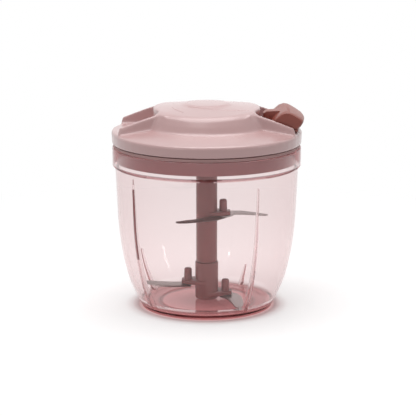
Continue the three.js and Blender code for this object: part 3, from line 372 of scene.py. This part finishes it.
# %% [markdown]
# The cord is braided polyester. Seen close, a braid is two sets of strands that cross at a slant. Modelled
# strands would cost many faces on a thin cord, so two wave textures that lean opposite ways are laid over
# each other. Together they darken the colour in the gaps and lift the surface.

# %% Material: braided cord
def braided_cord():
    material, tree, shader = start_material(
        "braided_cord", Roughness=0.85, Sheen_Weight=0.25, Sheen_Roughness=0.5
    )
    place = add_node(tree, "ShaderNodeTexCoord").outputs["Object"]
    strands = []
    for lean in (1, -1):
        turn = add_node(tree, "ShaderNodeMapping")
        slant = (20, 30 * lean, 40 * lean)
        turn.inputs["Rotation"].default_value = [math.radians(angle) for angle in slant]
        tree.links.new(place, turn.inputs["Vector"])
        wave = add_node(tree, "ShaderNodeTexWave", wave_type="BANDS", bands_direction="X")
        set_inputs(wave, {"Scale": 420.0, "Distortion": 0.6, "Detail": 1.0})
        tree.links.new(turn.outputs["Vector"], wave.inputs["Vector"])
        strands.append(wave.outputs["Fac"])
    weave = maths(tree, "MAXIMUM", strands[0], strands[1])
    fuzz = noise(tree, place, scale=3800.0)
    height = maths(tree, "MULTIPLY_ADD", fuzz, 0.3, weave)
    colour = mix_colour(tree, weave, paint(172, 148, 143), paint(226, 208, 203))
    bump = add_node(tree, "ShaderNodeBump")
    set_inputs(bump, {"Strength": 0.8, "Distance": 0.25 * MM})
    tree.links.new(height, bump.inputs["Height"])
    tree.links.new(colour, shader.inputs["Base Color"])
    tree.links.new(bump.outputs["Normal"], shader.inputs["Normal"])
    return material


cord_braid = braided_cord()
print("cord", cord_braid.name)

# %% [markdown]
# Each piece ends with the same steps: smooth shading that keeps real corners sharp, one material, the
# nodes it replaces and the body it rides on. One helper does them all, so that no piece misses one. The
# others turn a mesh under work into a finished one.

# %% Helpers for pieces
def finish_piece(mesh, name, body, material, nodes=(), smooth_deg=35):
    for polygon in mesh.polygons:
        polygon.use_smooth = True
    mesh.set_sharp_from_angle(angle=math.radians(smooth_deg))
    mesh.materials.clear()
    mesh.materials.append(material)
    piece = bpy.data.objects.new(name, mesh)
    scene.collection.objects.link(piece)
    if nodes:
        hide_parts(*nodes)
    if body:
        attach(piece, body)
    print(name, len(mesh.polygons), "faces")
    return piece


def copied_mesh(node):
    bm = bmesh.new()
    bm.from_mesh(frame["nodes"][node].data)
    bmesh.ops.remove_doubles(bm, verts=bm.verts, dist=0.002 * MM)
    return bm


def finished_mesh(bm, name):
    mesh = bpy.data.meshes.new(name)
    bm.to_mesh(mesh)
    bm.free()
    return mesh


def evaluated_mesh(holder, name):
    """The holder's mesh with its modifiers or curve worked out. The holder is removed."""
    bpy.context.view_layer.update()
    mesh = bpy.data.meshes.new_from_object(holder.evaluated_get(bpy.context.evaluated_depsgraph_get()))
    bpy.data.objects.remove(holder)
    mesh.name = name
    return mesh


print("nodes in the frame", len(frame["nodes"]))

# %% [markdown]
# Most rigid pieces already have their shape in the frame, but a machined-sharp edge gives a model away:
# moulded plastic has a small radius that catches a line of light. So each is copied, its loose triangles
# are merged, flat regions are joined into single faces, and its sharp edges get a narrow bevel.

# %% Helper: softened edges
FLAT_DEG = 1.0


def sharp_edges(bm, least_deg):
    return [
        edge for edge in bm.edges
        if edge.is_manifold and edge.calc_face_angle(0) > math.radians(least_deg)
    ]


def softened(node, name, body, material, width, segments, least_deg):
    bm = copied_mesh(node)
    bmesh.ops.dissolve_limit(
        bm, angle_limit=math.radians(FLAT_DEG), verts=bm.verts, edges=bm.edges,
        use_dissolve_boundaries=False,
    )
    bmesh.ops.bevel(
        bm, geom=sharp_edges(bm, least_deg), offset=width, offset_type="OFFSET", segments=segments,
        profile=0.5, affect="EDGES", clamp_overlap=True, material=-1,
    )
    return finish_piece(finished_mesh(bm, name), name, body, material, nodes=(node,))


print("faces that differ by less than", FLAT_DEG, "degree are joined")

# %% [markdown]
# The bowl is one moulding: a barrel wall, a rim with a ledge, a stepped foot and four thin ribs inside.
# Clear plastic shows every facet, so the bowl is spun afresh as a much smoother solid than the frame's.
# Its rim comes from the frame's box, and the side is given by shares of its width and of its height.

# %% Measures of the bowl
low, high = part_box("bowl")
RIM_RADIUS = high.x
RIM_TOP = high.z
WALL = 2.0 * MM
RIM_WALL = 1.7 * MM
RIM_STEP = 1.8 * MM
RIM_DEPTH = 12.8 * MM
RIM_ROUND = 1.2 * MM
FOOT_RADIUS = 45.3 * MM
FOOT_RING = 2.4 * MM
FOOT_HEIGHT = 0.7 * MM
BASE_STEP_RADIUS = 32.5 * MM
BASE_STEP = 0.4 * MM
FLOOR_TOP = 3.0 * MM
FLOOR_SKIN = 1.0 * MM
FLOOR_RINGS = (40.4 * MM, 32.3 * MM)
RING_SIZE = 0.45 * MM
CORNER = 4.0 * MM
BOSS_RADIUS = 4.5 * MM
BOSS_HEIGHT = 0.6 * MM
PIN_HOLE = 2.3 * MM
SPIN_STEPS = 160
SMALL_ROUND = 0.35 * MM
SIDE_SHARE = [(0.05, 0.018), (0.158, 0.06), (0.322, 0.121), (0.506, 0.202), (0.658, 0.303),
              (0.788, 0.424), (0.895, 0.586), (0.95, 0.788), (1, 1)]
print("bowl", round(2 * RIM_RADIUS, 4), "wide and", round(RIM_TOP, 4), "tall")

# %% [markdown]
# Straight lines from one measured point to the next would show as rings in clear plastic. So a long
# curve runs smoothly through its points, and each corner is a short arc.

# %% Helpers for smooth profiles
def smooth_through(points, steps=6):
    """Points of a smooth curve through the given ones."""
    ends = [2 * points[0] - points[1]] + points + [2 * points[-1] - points[-2]]
    curve = []
    for a, b, c, d in zip(ends, ends[1:], ends[2:], ends[3:]):
        for step in range(steps):
            t = step / steps
            curve.append(
                0.5 * ((2 * b) + (c - a) * t + (2 * a - 5 * b + 4 * c - d) * t * t
                       + (3 * b - a - 3 * c + d) * t ** 3)
            )
    return curve + [points[-1]]


def arc(centre, radius, start_deg, end_deg, steps=5):
    """Points of an arc in the profile's plane, centre given as (radius, height)."""
    found = []
    for step in range(steps + 1):
        angle = math.radians(start_deg + (end_deg - start_deg) * step / steps)
        found.append(Vector((centre[0] + radius * math.cos(angle), centre[1] + radius * math.sin(angle))))
    return found


print("a quarter arc has", len(arc((0, 0), RIM_ROUND, 0, 90)), "points")

# %% [markdown]
# The profile is one line of points, from the middle of the underside out to the foot, up the outer side,
# over the rim and down the inside. One line is easier to keep closed than an outer and an inner one that
# have to be joined, and its order can be followed with a finger.

# %% The bowl's profile
CORNER_REST = 0.5 * MM
CORNER_INSET = 0.15 * MM


def bowl_side():
    shoulder = RIM_RADIUS - RIM_STEP
    foot = RIM_TOP - RIM_DEPTH
    points = [
        Vector((FOOT_RADIUS + (shoulder - FOOT_RADIUS) * width, foot * height))
        for width, height in SIDE_SHARE
    ]
    return smooth_through(points)


def bowl_profile():
    side = bowl_side()
    foot = RIM_TOP - RIM_DEPTH
    inner_foot = FOOT_RADIUS - FOOT_RING
    soft = SMALL_ROUND
    inner = RIM_RADIUS - RIM_WALL
    corner_height = FLOOR_TOP + CORNER
    inside = [Vector((p.x - WALL, p.y)) for p in side if p.y > corner_height + CORNER_REST]
    start = inside[0].x - CORNER_INSET
    profile = [Vector((0, FOOT_HEIGHT + BASE_STEP)), Vector((BASE_STEP_RADIUS, FOOT_HEIGHT + BASE_STEP))]
    profile += [Vector((BASE_STEP_RADIUS + BASE_STEP, FOOT_HEIGHT)), Vector((inner_foot, FOOT_HEIGHT))]
    profile += [Vector((inner_foot + soft, soft)), Vector((inner_foot + 2 * soft, 0))]
    profile += arc((FOOT_RADIUS - soft, soft), soft, -90, 0)[:-1]
    profile += side
    profile += arc((RIM_RADIUS - RIM_ROUND, foot + RIM_ROUND), RIM_ROUND, -80, 0)
    profile += arc((RIM_RADIUS - 2 * soft, RIM_TOP - 2 * soft), 2 * soft, 0, 90)
    profile += arc((inner + soft, RIM_TOP - soft), soft, 90, 180)
    profile += arc((inner - soft, foot + WALL), soft, 0, -90)
    profile += reversed(inside)
    profile += arc((start - CORNER, corner_height), CORNER, 0, -90, 8)
    for ring in FLOOR_RINGS:
        profile += arc((ring, FLOOR_TOP), RING_SIZE, 0, 180, 4)
    profile += [Vector((BOSS_RADIUS + BOSS_HEIGHT, FLOOR_TOP))]
    profile += arc((BOSS_RADIUS - soft, FLOOR_TOP + BOSS_HEIGHT - soft / 2), soft / 2, 0, 90, 3)
    profile += [Vector((PIN_HOLE, FLOOR_TOP + BOSS_HEIGHT)), Vector((PIN_HOLE, FLOOR_TOP - FLOOR_SKIN))]
    profile += [Vector((0, FLOOR_TOP - FLOOR_SKIN))]
    return profile


print("profile", len(bowl_profile()), "points")

# %% [markdown]
# A spin sweeps the profile round the upright axis, much as a lathe would cut the form. A screw modifier
# could do it too, but the operator gives a plain mesh at once, which the ribs can be joined to.

# %% The spun bowl
def spun(profile, name):
    """A closed solid of revolution about Z from a profile of (radius, height) points."""
    bm = bmesh.new()
    line = [bm.verts.new((p.x, 0, p.y)) for p in profile]
    edges = [bm.edges.new(pair) for pair in zip(line, line[1:])]
    if profile[0].x > 0:
        edges.append(bm.edges.new((line[-1], line[0])))
    bmesh.ops.spin(
        bm, geom=line + edges, cent=(0, 0, 0), axis=(0, 0, 1), angle=2 * math.pi, steps=SPIN_STEPS,
        use_merge=True,
    )
    bmesh.ops.remove_doubles(bm, verts=bm.verts, dist=0.001 * MM)
    bmesh.ops.recalc_face_normals(bm, faces=bm.faces)
    return finished_mesh(bm, name)


bowl_spin = spun(bowl_profile(), "bowl_spin")
print("spun bowl", len(bowl_spin.polygons), "faces")

# %% [markdown]
# Thin ribs stand inside the wall and catch the food. Each is thick at the floor and thins out on its way
# up, and it follows the barrel of the wall. A stretched box couldn't do that, so a rib is bridged from
# one small ring of points to the next.

# %% The ribs
LONG_RIB = 93.0 * MM
SHORT_RIB = 36.0 * MM
RIBS = ((-53.5, LONG_RIB), (34, LONG_RIB), (146, SHORT_RIB / 2), (-121, SHORT_RIB))
RIB_FOOT = 2.1 * MM
RIB_PROUD = (3.4 * MM, 1.3 * MM)
RIB_WIDTH = (3.4 * MM, 1.2 * MM)
RIB_RING_EVERY = 3


def mixed(pair, share):
    return pair[0] + (pair[1] - pair[0]) * share


def rib_mesh(angle_deg, top):
    """A rib inside the wall that starts in the floor and gets thinner and lower on its way up."""
    bm = bmesh.new()
    side = [p for p in bowl_side() if RIB_FOOT < p.y < top][::RIB_RING_EVERY]
    edges = []
    for p in side:
        risen = (p.y - RIB_FOOT) / (top - RIB_FOOT)
        half = mixed(RIB_WIDTH, risen) / 2
        rooted = p.x - WALL / 2
        inner = p.x - WALL - mixed(RIB_PROUD, risen)
        ring = [bm.verts.new((x, y, p.y)) for x, y in (
            (rooted, -half), (rooted, half), (inner, half / 2), (inner, -half / 2))]
        edges += [bm.edges.new((ring[k - 1], ring[k])) for k in range(4)]
    bmesh.ops.bridge_loops(bm, edges=edges)
    bmesh.ops.holes_fill(bm, edges=bm.edges, sides=4)
    bmesh.ops.recalc_face_normals(bm, faces=bm.faces)
    turn = Matrix.Rotation(math.radians(angle_deg - 90), 4, "Z")
    bmesh.ops.transform(bm, matrix=turn, verts=bm.verts)
    return finished_mesh(bm, "rib")


rib_meshes = [rib_mesh(angle, top) for angle, top in RIBS]
print("ribs", len(rib_meshes))

# %% [markdown]
# A loose rib inside clear plastic would refract as a separate body, with a skin of its own. So exact
# booleans join the ribs and the wall into one solid, as they are in the real moulding.

# %% The clear bowl
BOWL_SMOOTH_DEG = 12


def joined(base_mesh, parts, name):
    """The base mesh and the parts as one solid."""
    base = bpy.data.objects.new("base", base_mesh)
    scene.collection.objects.link(base)
    helpers = []
    for part in parts:
        helper = bpy.data.objects.new("helper", part)
        scene.collection.objects.link(helper)
        helpers.append(helper)
        modifier = base.modifiers.new("join", "BOOLEAN")
        modifier.operation = "UNION"
        modifier.solver = "EXACT"
        modifier.object = helper
    mesh = evaluated_mesh(base, name)
    for helper in helpers:
        bpy.data.objects.remove(helper)
    return mesh


bowl_mesh = joined(bowl_spin, rib_meshes, "clear_bowl")
finish_piece(bowl_mesh, "clear_bowl", "bowl", bowl_clear, ("bowl",), BOWL_SMOOTH_DEG)

# %% [markdown]
# The front left rib shows as a thick dark line, where light is caught along its length. That line is
# painted shade: a thin opaque strand of deep rose inside the rib stands in for it, with a short break
# below the rim. It is a curve with a round bevel, made into a mesh.

# %% Painted shade: the dark line in a rib
TUBE_RESOLUTION = 3


def tube_mesh(name, points, diameter):
    curve = bpy.data.curves.new(name, "CURVE")
    curve.dimensions = "3D"
    curve.bevel_depth = diameter / 2
    curve.bevel_resolution = TUBE_RESOLUTION
    curve.use_fill_caps = True
    spline = curve.splines.new("POLY")
    spline.points.add(len(points) - 1)
    for knot, point in zip(spline.points, points):
        knot.co = (*point, 1)
    holder = bpy.data.objects.new(name + "_curve", curve)
    scene.collection.objects.link(holder)
    return evaluated_mesh(holder, name)


LINE_INSET = 0.6 * MM
LINE_ANGLE = -53.5
# painted shade: strands inside the front left rib that stand in for its dark line
STRANDS = {"rib_shade_strand": (38 * MM, 89 * MM, 0.9 * MM), "rib_shade_strand_end": (90 * MM, 96 * MM, 0.5 * MM)}
strand_turn = Matrix.Rotation(math.radians(LINE_ANGLE - 90), 3, "Z")
for name, (foot, top, width) in STRANDS.items():
    strand = [Vector((p.x - WALL - LINE_INSET, 0, p.y)) for p in bowl_side() if foot < p.y < top]
    strand_mesh = tube_mesh(name, [strand_turn @ point for point in strand], width)
    finish_piece(strand_mesh, name, "bowl", painted_rib_shade)

# %% [markdown]
# The lid's shell is one soft moulding: each ridge and slope runs into the next with a fillet. A bevel
# would stop where many edges meet. So the frame's solid is remeshed into small even faces and smoothed,
# which rounds edges that stick out and fills those that go in.

# %% The lid's shell
SHELL_VOXEL = 0.75 * MM
SHELL_ROUNDS = 8
SHELL_SMOOTH_DEG = 70


def remoulded(node, name):
    form = finished_mesh(copied_mesh(node), name + "_form")
    holder = bpy.data.objects.new(name + "_form", form)
    scene.collection.objects.link(holder)
    remesh = holder.modifiers.new("remesh", "REMESH")
    remesh.mode = "VOXEL"
    remesh.voxel_size = SHELL_VOXEL
    smooth = holder.modifiers.new("smooth", "SMOOTH")
    smooth.factor = 0.5
    smooth.iterations = SHELL_ROUNDS
    return evaluated_mesh(holder, name)


shell_mesh = remoulded("lid_cover", "lid_shell")
lid_shell = finish_piece(
    shell_mesh, "lid_shell", "lid", lid_pink, ("lid_cover",), SHELL_SMOOTH_DEG
)

# %% [markdown]
# Below the shell come the plug, with softened edges, and the silicone seal. The seal ends in two soft
# lips, which show as fine lines between the lid and the bowl, so it is spun from a profile with grooves.

# %% The plug and the seal
softened(
    "lid_base", "lid_plug", "lid", base_rose, width=0.3 * MM, segments=2, least_deg=32
)
SEAL_LIPS = 2
LIP_SHARES = (0.25, 0.7, 0.85)
SEAL_SMOOTH_DEG = 30
SEAL_GROOVE = 0.45 * MM
SEAL_WALL = 2.4 * MM
low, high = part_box("lid_seal")
lip_height = (high.z - low.z) / SEAL_LIPS
seal_profile = [Vector((high.x - SEAL_WALL, high.z)), Vector((high.x - SEAL_WALL, low.z))]
for lip in range(SEAL_LIPS):
    foot = low.z + lip * lip_height
    swell, end, groove = (foot + share * lip_height for share in LIP_SHARES)
    seal_profile += [
        Vector((high.x - SEAL_GROOVE, foot)), Vector((high.x, swell)),
        Vector((high.x, end)), Vector((high.x - SEAL_GROOVE, groove)),
    ]
seal_profile += [Vector((high.x - SEAL_GROOVE, high.z))]
seal_mesh = spun(seal_profile, "lid_ring")
finish_piece(seal_mesh, "lid_ring", "lid", seal_pink, ("lid_seal",), SEAL_SMOOTH_DEG)

# %% [markdown]
# The clear rim is thinner here than in the frame, which would leave a gap round the plug. A sleeve fills
# it closely and ends in a low lip. It goes all the way round, so it is spun like the seal.

# %% The plug's sleeve
SLEEVE_GAP = 0.35 * MM
SLEEVE_WALL = 1.6 * MM
SLEEVE_FOOT = 102.1 * MM
SLEEVE_CORNER = 0.4 * MM
low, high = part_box("lid_seal")
sleeve_top = low.z - SLEEVE_GAP
sleeve_outer = RIM_RADIUS - RIM_WALL - SLEEVE_GAP
sleeve_inner = sleeve_outer - SLEEVE_WALL
sleeve_profile = [Vector((sleeve_inner, sleeve_top)), Vector((sleeve_inner, SLEEVE_FOOT))]
sleeve_profile += arc((sleeve_outer - SLEEVE_CORNER, SLEEVE_FOOT + SLEEVE_CORNER), SLEEVE_CORNER, -90, 0)
sleeve_profile += [Vector((sleeve_outer, sleeve_top))]
finish_piece(spun(sleeve_profile, "plug_sleeve"), "plug_sleeve", "lid", base_rose)

# %% [markdown]
# Two raised lines curve over the platform. They are plain decoration, with no lettering. A curve drawn in
# the air would float or sink on the domed lid, so rays drop from above and lay each point on the shell.

# %% The raised lines
shell_tree = BVHTree.FromPolygons(
    [v.co for v in lid_shell.data.vertices], [p.vertices for p in lid_shell.data.polygons]
)
LINE_THICKNESS = 1.0 * MM
LINE_SINK = 0.28 * MM
LINE_STEPS = 8
ABOVE_LID = 0.3
raised_lines = {
    "raised_line_short": [(-23.6, -9.5), (-20.6, -17.2), (-15.8, -24.2)],
    "raised_line_long": [(-12.4, -12.2), (1.5, -18.3), (16.0, -19.8), (28.2, -17.0)],
}


def on_shell(place):
    hit = shell_tree.ray_cast(Vector((place.x, place.y, ABOVE_LID)), Vector((0, 0, -1)))[0]
    return hit - Vector((0, 0, LINE_SINK))


for name, plan in raised_lines.items():
    line = smooth_through([Vector((x * MM, y * MM)) for x, y in plan], LINE_STEPS)
    line_mesh = tube_mesh(name, [on_shell(place) for place in line], LINE_THICKNESS)
    finish_piece(line_mesh, name, "lid", lid_pink)

# %% [markdown]
# The handle is a humped bar on a short stem, with a plate that closes it from below. The frame has its
# form already, so a bevel is enough. The bar has soft edges that fingers can pull on, and its bevel is
# the widest of all.

# %% The handle
for node, name, width, segments, least_deg in (
    ("handle_grip", "handle_bar", 0.8 * MM, 4, 40), ("handle_cap", "handle_plate", 0.25 * MM, 2, 32),
):
    softened(node, name, "handle", handle_brown, width, segments, least_deg)

# %% [markdown]
# The shaft and the hub are rose mouldings with arms and pegs, and the blades sit under the arms. A blade
# is only one millimetre thick, so its edges get a single narrow chamfer.

# %% The blade stack
for node, name in (("upper_shaft", "shaft"), ("lower_hub", "hub")):
    softened(
        node, name, "blades", shaft_rose, width=0.35 * MM, segments=3, least_deg=40
    )
for node in ("upper_blade", "lower_left_blade", "lower_right_blade"):
    softened(
        node, node + "_steel", "blades", blade_steel,
        width=0.08 * MM, segments=1, least_deg=50,
    )

# %% [markdown]
# The reel, pawls, spring and screws stay closed inside the lid, and no view of the rest pose shows them.
# Softer edges would be lost there, so each keeps its solid from the frame and gets only its finish.

# %% Finishes of the inner parts
node_finish = {
    "inner_white": inner_white, "small_steel": bright_steel, "spring_steel": spring_steel,
}
for entry in frame["record"]["subparts"]:
    node = frame["nodes"][entry["node"]]
    finish = node_finish.get(entry["material_slot"])
    if finish:
        node.data.materials.clear()
        node.data.materials.append(finish)
print("finishes", list(node_finish))

# %% [markdown]
# The cord is a soft piece, and in the frame it has only six sides. So its solids are replaced by rounder
# ones, and the first of them is the coil on the drum: four even turns, one above the other.

# %% The cord on the drum
CORD_SMOOTH_DEG = 60


def cord_curve(name, points, diameter, body, nodes):
    mesh = tube_mesh(name, points, diameter)
    return finish_piece(mesh, name, body, cord_braid, nodes, CORD_SMOOTH_DEG)


CORD_DIAMETER = 1.9 * MM
CORD_TURNS = 4
CORD_PITCH = 2.35 * MM
WINDING_RADIUS = 20.75 * MM
TURN_STEPS = 48
low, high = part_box("cord_winding")
winding_top = high.z - CORD_DIAMETER / 2
eyelet_low, eyelet_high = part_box("cord_eyelet")
exit_height = (eyelet_low.z + eyelet_high.z) / 2
EXIT_X = 36.5 * MM
LID_WALL = 2.2 * MM
leave_angle = -math.acos(WINDING_RADIUS / EXIT_X)


def winding_point(turn):
    angle = leave_angle - (CORD_TURNS - turn) * 2 * math.pi
    height = winding_top - CORD_PITCH * (CORD_TURNS - turn)
    return Vector((WINDING_RADIUS * math.cos(angle), WINDING_RADIUS * math.sin(angle), height))


winding_points = [winding_point(step / TURN_STEPS) for step in range(CORD_TURNS * TURN_STEPS + 1)]
cord_curve("cord_wound", winding_points, CORD_DIAMETER, "reel", ("cord_winding",))

# %% [markdown]
# From the drum the cord runs straight to the eyelet, bends into it and goes on into the stem. Only the
# short stretch between the eyelet and the stem gets longer when the handle is pulled, so it has many
# rings.

# %% The run of the cord
STRETCH_START = 36.8 * MM
STRETCH_END = 38.5 * MM
STRETCH_RINGS = 24
BEND_STEPS = 8
low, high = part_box("cord_knot")
knot_place = (low + high) / 2
TAIL = 2.8 * MM


def run_points():
    leave = winding_points[-1]
    corner = Vector((EXIT_X - LID_WALL, 0, exit_height))
    mouth = Vector((EXIT_X, 0, exit_height))
    turn_in = corner - (corner - leave).normalized() * CORD_DIAMETER
    points = [leave, (leave + turn_in) / 2]
    for step in range(BEND_STEPS + 1):
        share = step / BEND_STEPS
        points.append(turn_in.lerp(corner, share).lerp(corner.lerp(mouth, share), share))
    for step in range(STRETCH_RINGS + 1):
        reach = mixed((STRETCH_START, STRETCH_END), step / STRETCH_RINGS)
        points.append(Vector((reach, 0, exit_height)))
    points.append(Vector((knot_place.x, 0, exit_height)))
    points.append(Vector((knot_place.x + TAIL, 0, exit_height)))
    return points


cord_run = cord_curve("cord_run", run_points(), CORD_DIAMETER, None, ("cord_lead",))
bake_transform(cord_run)

# %% [markdown]
# A knot in the stem keeps the cord from slipping out of the handle. An overhand knot that is pulled tight
# has three lobes, and a closed line made of sines has the same form. So it needs no points set by hand.

# %% The knot
KNOT_LOOP = 0.68 * MM
KNOT_DEPTH = 0.95 * MM
KNOT_STEPS = 72
KNOT_DIAMETER = 0.9 * CORD_DIAMETER


def knot_point(step):
    """A point of the threefold knot that an overhand knot pulls into, on the cord's line."""
    angle = 2 * math.pi * step / KNOT_STEPS
    across = KNOT_LOOP * (math.sin(angle) + 2 * math.sin(2 * angle))
    upward = KNOT_LOOP * (math.cos(angle) - 2 * math.cos(2 * angle))
    return knot_place + Vector((-KNOT_DEPTH * math.sin(3 * angle), across, upward))


knot_points = [knot_point(step) for step in range(KNOT_STEPS + 1)]
cord_curve("cord_tied", knot_points, KNOT_DIAMETER, "handle", ("cord_knot",))

# %% [markdown]
# The object stands on a pale table. Light that comes through the rosy foot tints the table below it, and
# the steps of the foot show there as two darker rings. Traced light gives only a faint part of this. So
# this light and shade is painted on the table: it gives back a little light of its own, whose colour
# changes with the distance from the middle. It paints a shade under the hub, a rosy pool of light below
# the foot, two dark rings of shade at the foot's steps and a contact shadow round the foot.

# %% Painted light and shade on the table
GLOW_REACH = 0.1
# painted light and shade on the table: radius in metres and emitted colour
PAINTED_TABLE_LIGHT = (
    (0.012, (0.24, 0.10, 0.105)), (0.0300, (0.48, 0.27, 0.275)), (0.0312, (0.06, 0.02, 0.02)),
    (0.0334, (0.06, 0.02, 0.02)), (0.0345, (0.30, 0.14, 0.145)), (0.0396, (0.30, 0.14, 0.145)),
    (0.0402, (0.24, 0.11, 0.11)), (0.0416, (0.24, 0.11, 0.11)), (0.0424, (0.46, 0.28, 0.28)),
    (0.0455, (0.42, 0.25, 0.25)), (0.0475, (0.17, 0.10, 0.10)), (0.052, (0.36, 0.32, 0.32)),
    (0.057, (0.46, 0.46, 0.46)),
)


def painted_table_light(tree, distance):
    """Painted light and shade that the table gives back: painted shade under the hub, a rosy pool of light
    below the bowl's foot with two painted dark rings, a painted contact shadow round it, then an even
    grey.
    """
    ramp = add_node(tree, "ShaderNodeValToRGB")
    tree.links.new(maths(tree, "DIVIDE", distance, GLOW_REACH), ramp.inputs["Fac"])
    stops = ramp.color_ramp.elements
    for index, (radius, colour) in enumerate(PAINTED_TABLE_LIGHT):
        stop = stops[index] if index < 2 else stops.new(radius / GLOW_REACH)
        stop.position = radius / GLOW_REACH
        stop.color = (*colour, 1)
    glow = add_node(tree, "ShaderNodeEmission")
    tree.links.new(ramp.outputs["Color"], glow.inputs["Color"])
    return glow.outputs[0]


print("table glow", len(PAINTED_TABLE_LIGHT), "stops")

# %% [markdown]
# The table keeps the object's shadow close by and turns into plain white further out, which the camera,
# and the gloss and glass of the object, see as one even background. Other rays meet the table's own
# diffuse colour, so it lights the object from below as a real table does.

# %% Material: pale table
WHITE_FROM = 0.1
WHITE_TO = 0.4


def floor_material():
    material = bpy.data.materials.new("pale_table")
    material.use_nodes = True
    tree = material.node_tree
    tree.nodes.clear()
    out = add_node(tree, "ShaderNodeOutputMaterial")
    diffuse = add_node(tree, "ShaderNodeBsdfDiffuse")
    place = add_node(tree, "ShaderNodeTexCoord").outputs["Object"]
    drift = noise(tree, place, scale=3.0)
    pale = mix_colour(tree, drift, paint(214, 212, 212), paint(222, 220, 220))
    tree.links.new(pale, diffuse.inputs["Color"])
    away = add_node(tree, "ShaderNodeVectorMath", operation="LENGTH")
    tree.links.new(place, away.inputs[0])
    near = add_node(tree, "ShaderNodeAddShader")
    tree.links.new(diffuse.outputs[0], near.inputs[0])
    # near the object the painted light and shade of the table is added to its traced light
    tree.links.new(painted_table_light(tree, away.outputs["Value"]), near.inputs[1])
    spread = add_node(tree, "ShaderNodeMapRange", interpolation_type="SMOOTHSTEP")
    set_inputs(spread, {"From Min": WHITE_FROM, "From Max": WHITE_TO})
    tree.links.new(away.outputs["Value"], spread.inputs["Value"])
    white = add_node(tree, "ShaderNodeEmission")
    seen = mixed_shader(tree, spread.outputs[0], near.outputs[0], white.outputs[0])
    surface = mixed_shader(tree, seen_by_glass(tree), diffuse.outputs[0], seen)
    tree.links.new(surface, out.inputs["Surface"])
    return material


def mixed_shader(tree, share, first, second):
    mix = add_node(tree, "ShaderNodeMixShader")
    for socket, value in zip(mix.inputs, (share, first, second)):
        tree.links.new(value, socket)
    return mix.outputs[0]


def seen_by_glass(tree):
    """1 for camera, glossy and transmission rays, 0 for the rest."""
    path = add_node(tree, "ShaderNodeLightPath")
    seen = maths(tree, "MAXIMUM", path.outputs["Is Camera Ray"], path.outputs["Is Glossy Ray"])
    return maths(tree, "MAXIMUM", seen, path.outputs["Is Transmission Ray"])


pale_table = floor_material()
print("table material", pale_table.name)

# %% [markdown]
# The floor is a plain disc that is wide enough to fill the view. It lies a hair below the foot, because
# two faces at one height would flicker against each other. It belongs to the stage and not to the object.

# %% Floor
FLOOR_REACH = 3.0
FLOOR_SIDES = 96
FLOOR_DROP = 0.2 * MM
floor_bm = bmesh.new()
bmesh.ops.create_circle(floor_bm, cap_ends=True, radius=FLOOR_REACH, segments=FLOOR_SIDES)
floor_mesh = finished_mesh(floor_bm, "floor")
floor_mesh.materials.append(pale_table)
floor = bpy.data.objects.new("floor", floor_mesh)
scene.collection.objects.link(floor)
floor.location.z = -FLOOR_DROP
print("floor", 2 * FLOOR_REACH, "m across")

# %% [markdown]
# The world is white to the camera and to glossy and see-through surfaces, and dimmer to other rays, so
# the lamps shape the object. One large soft light hangs over the table and a weak one fills from the
# front. A small window and a narrow strip, both weak, leave the gloss marks on the clear bowl. A picture
# of a studio could light it too, but lamps can be moved one by one.

# %% World and lamps
world = bpy.data.worlds.new("studio")
scene.world = world
world.use_nodes = True
world_tree = world.node_tree
back = world_tree.nodes["Background"]
SKY_LEVEL = 0.3
level = maths(world_tree, "MULTIPLY_ADD", seen_by_glass(world_tree), 1 - SKY_LEVEL, SKY_LEVEL)
world_tree.links.new(level, back.inputs["Strength"])
back.inputs["Color"].default_value = (1, 1, 1, 1)


def lamp(name, place, aim, width, height, watts):
    data = bpy.data.lights.new(name, "AREA")
    data.shape = "RECTANGLE"
    data.size = width
    data.size_y = height
    data.energy = watts
    light = bpy.data.objects.new(name, data)
    scene.collection.objects.link(light)
    light.location = place
    light.rotation_euler = (Vector(aim) - Vector(place)).to_track_quat("-Z", "Y").to_euler()
    return light


lamp("over", (-0.04, 0.05, 1.2), aim=(0, 0, 0.1), width=1.3, height=1.0, watts=11.5)
lamp("front", (-0.6, -1.3, 0.8), aim=(0, 0, 0.08), width=0.8, height=0.8, watts=0.7)
lamp("window", (-0.64, -0.86, 0.37), aim=(0, 0, 0.05), width=0.07, height=0.07, watts=0.3)
lamp("strip", (0.98, -0.37, 0.36), aim=(0, 0, 0.05), width=0.04, height=0.34, watts=0.34)
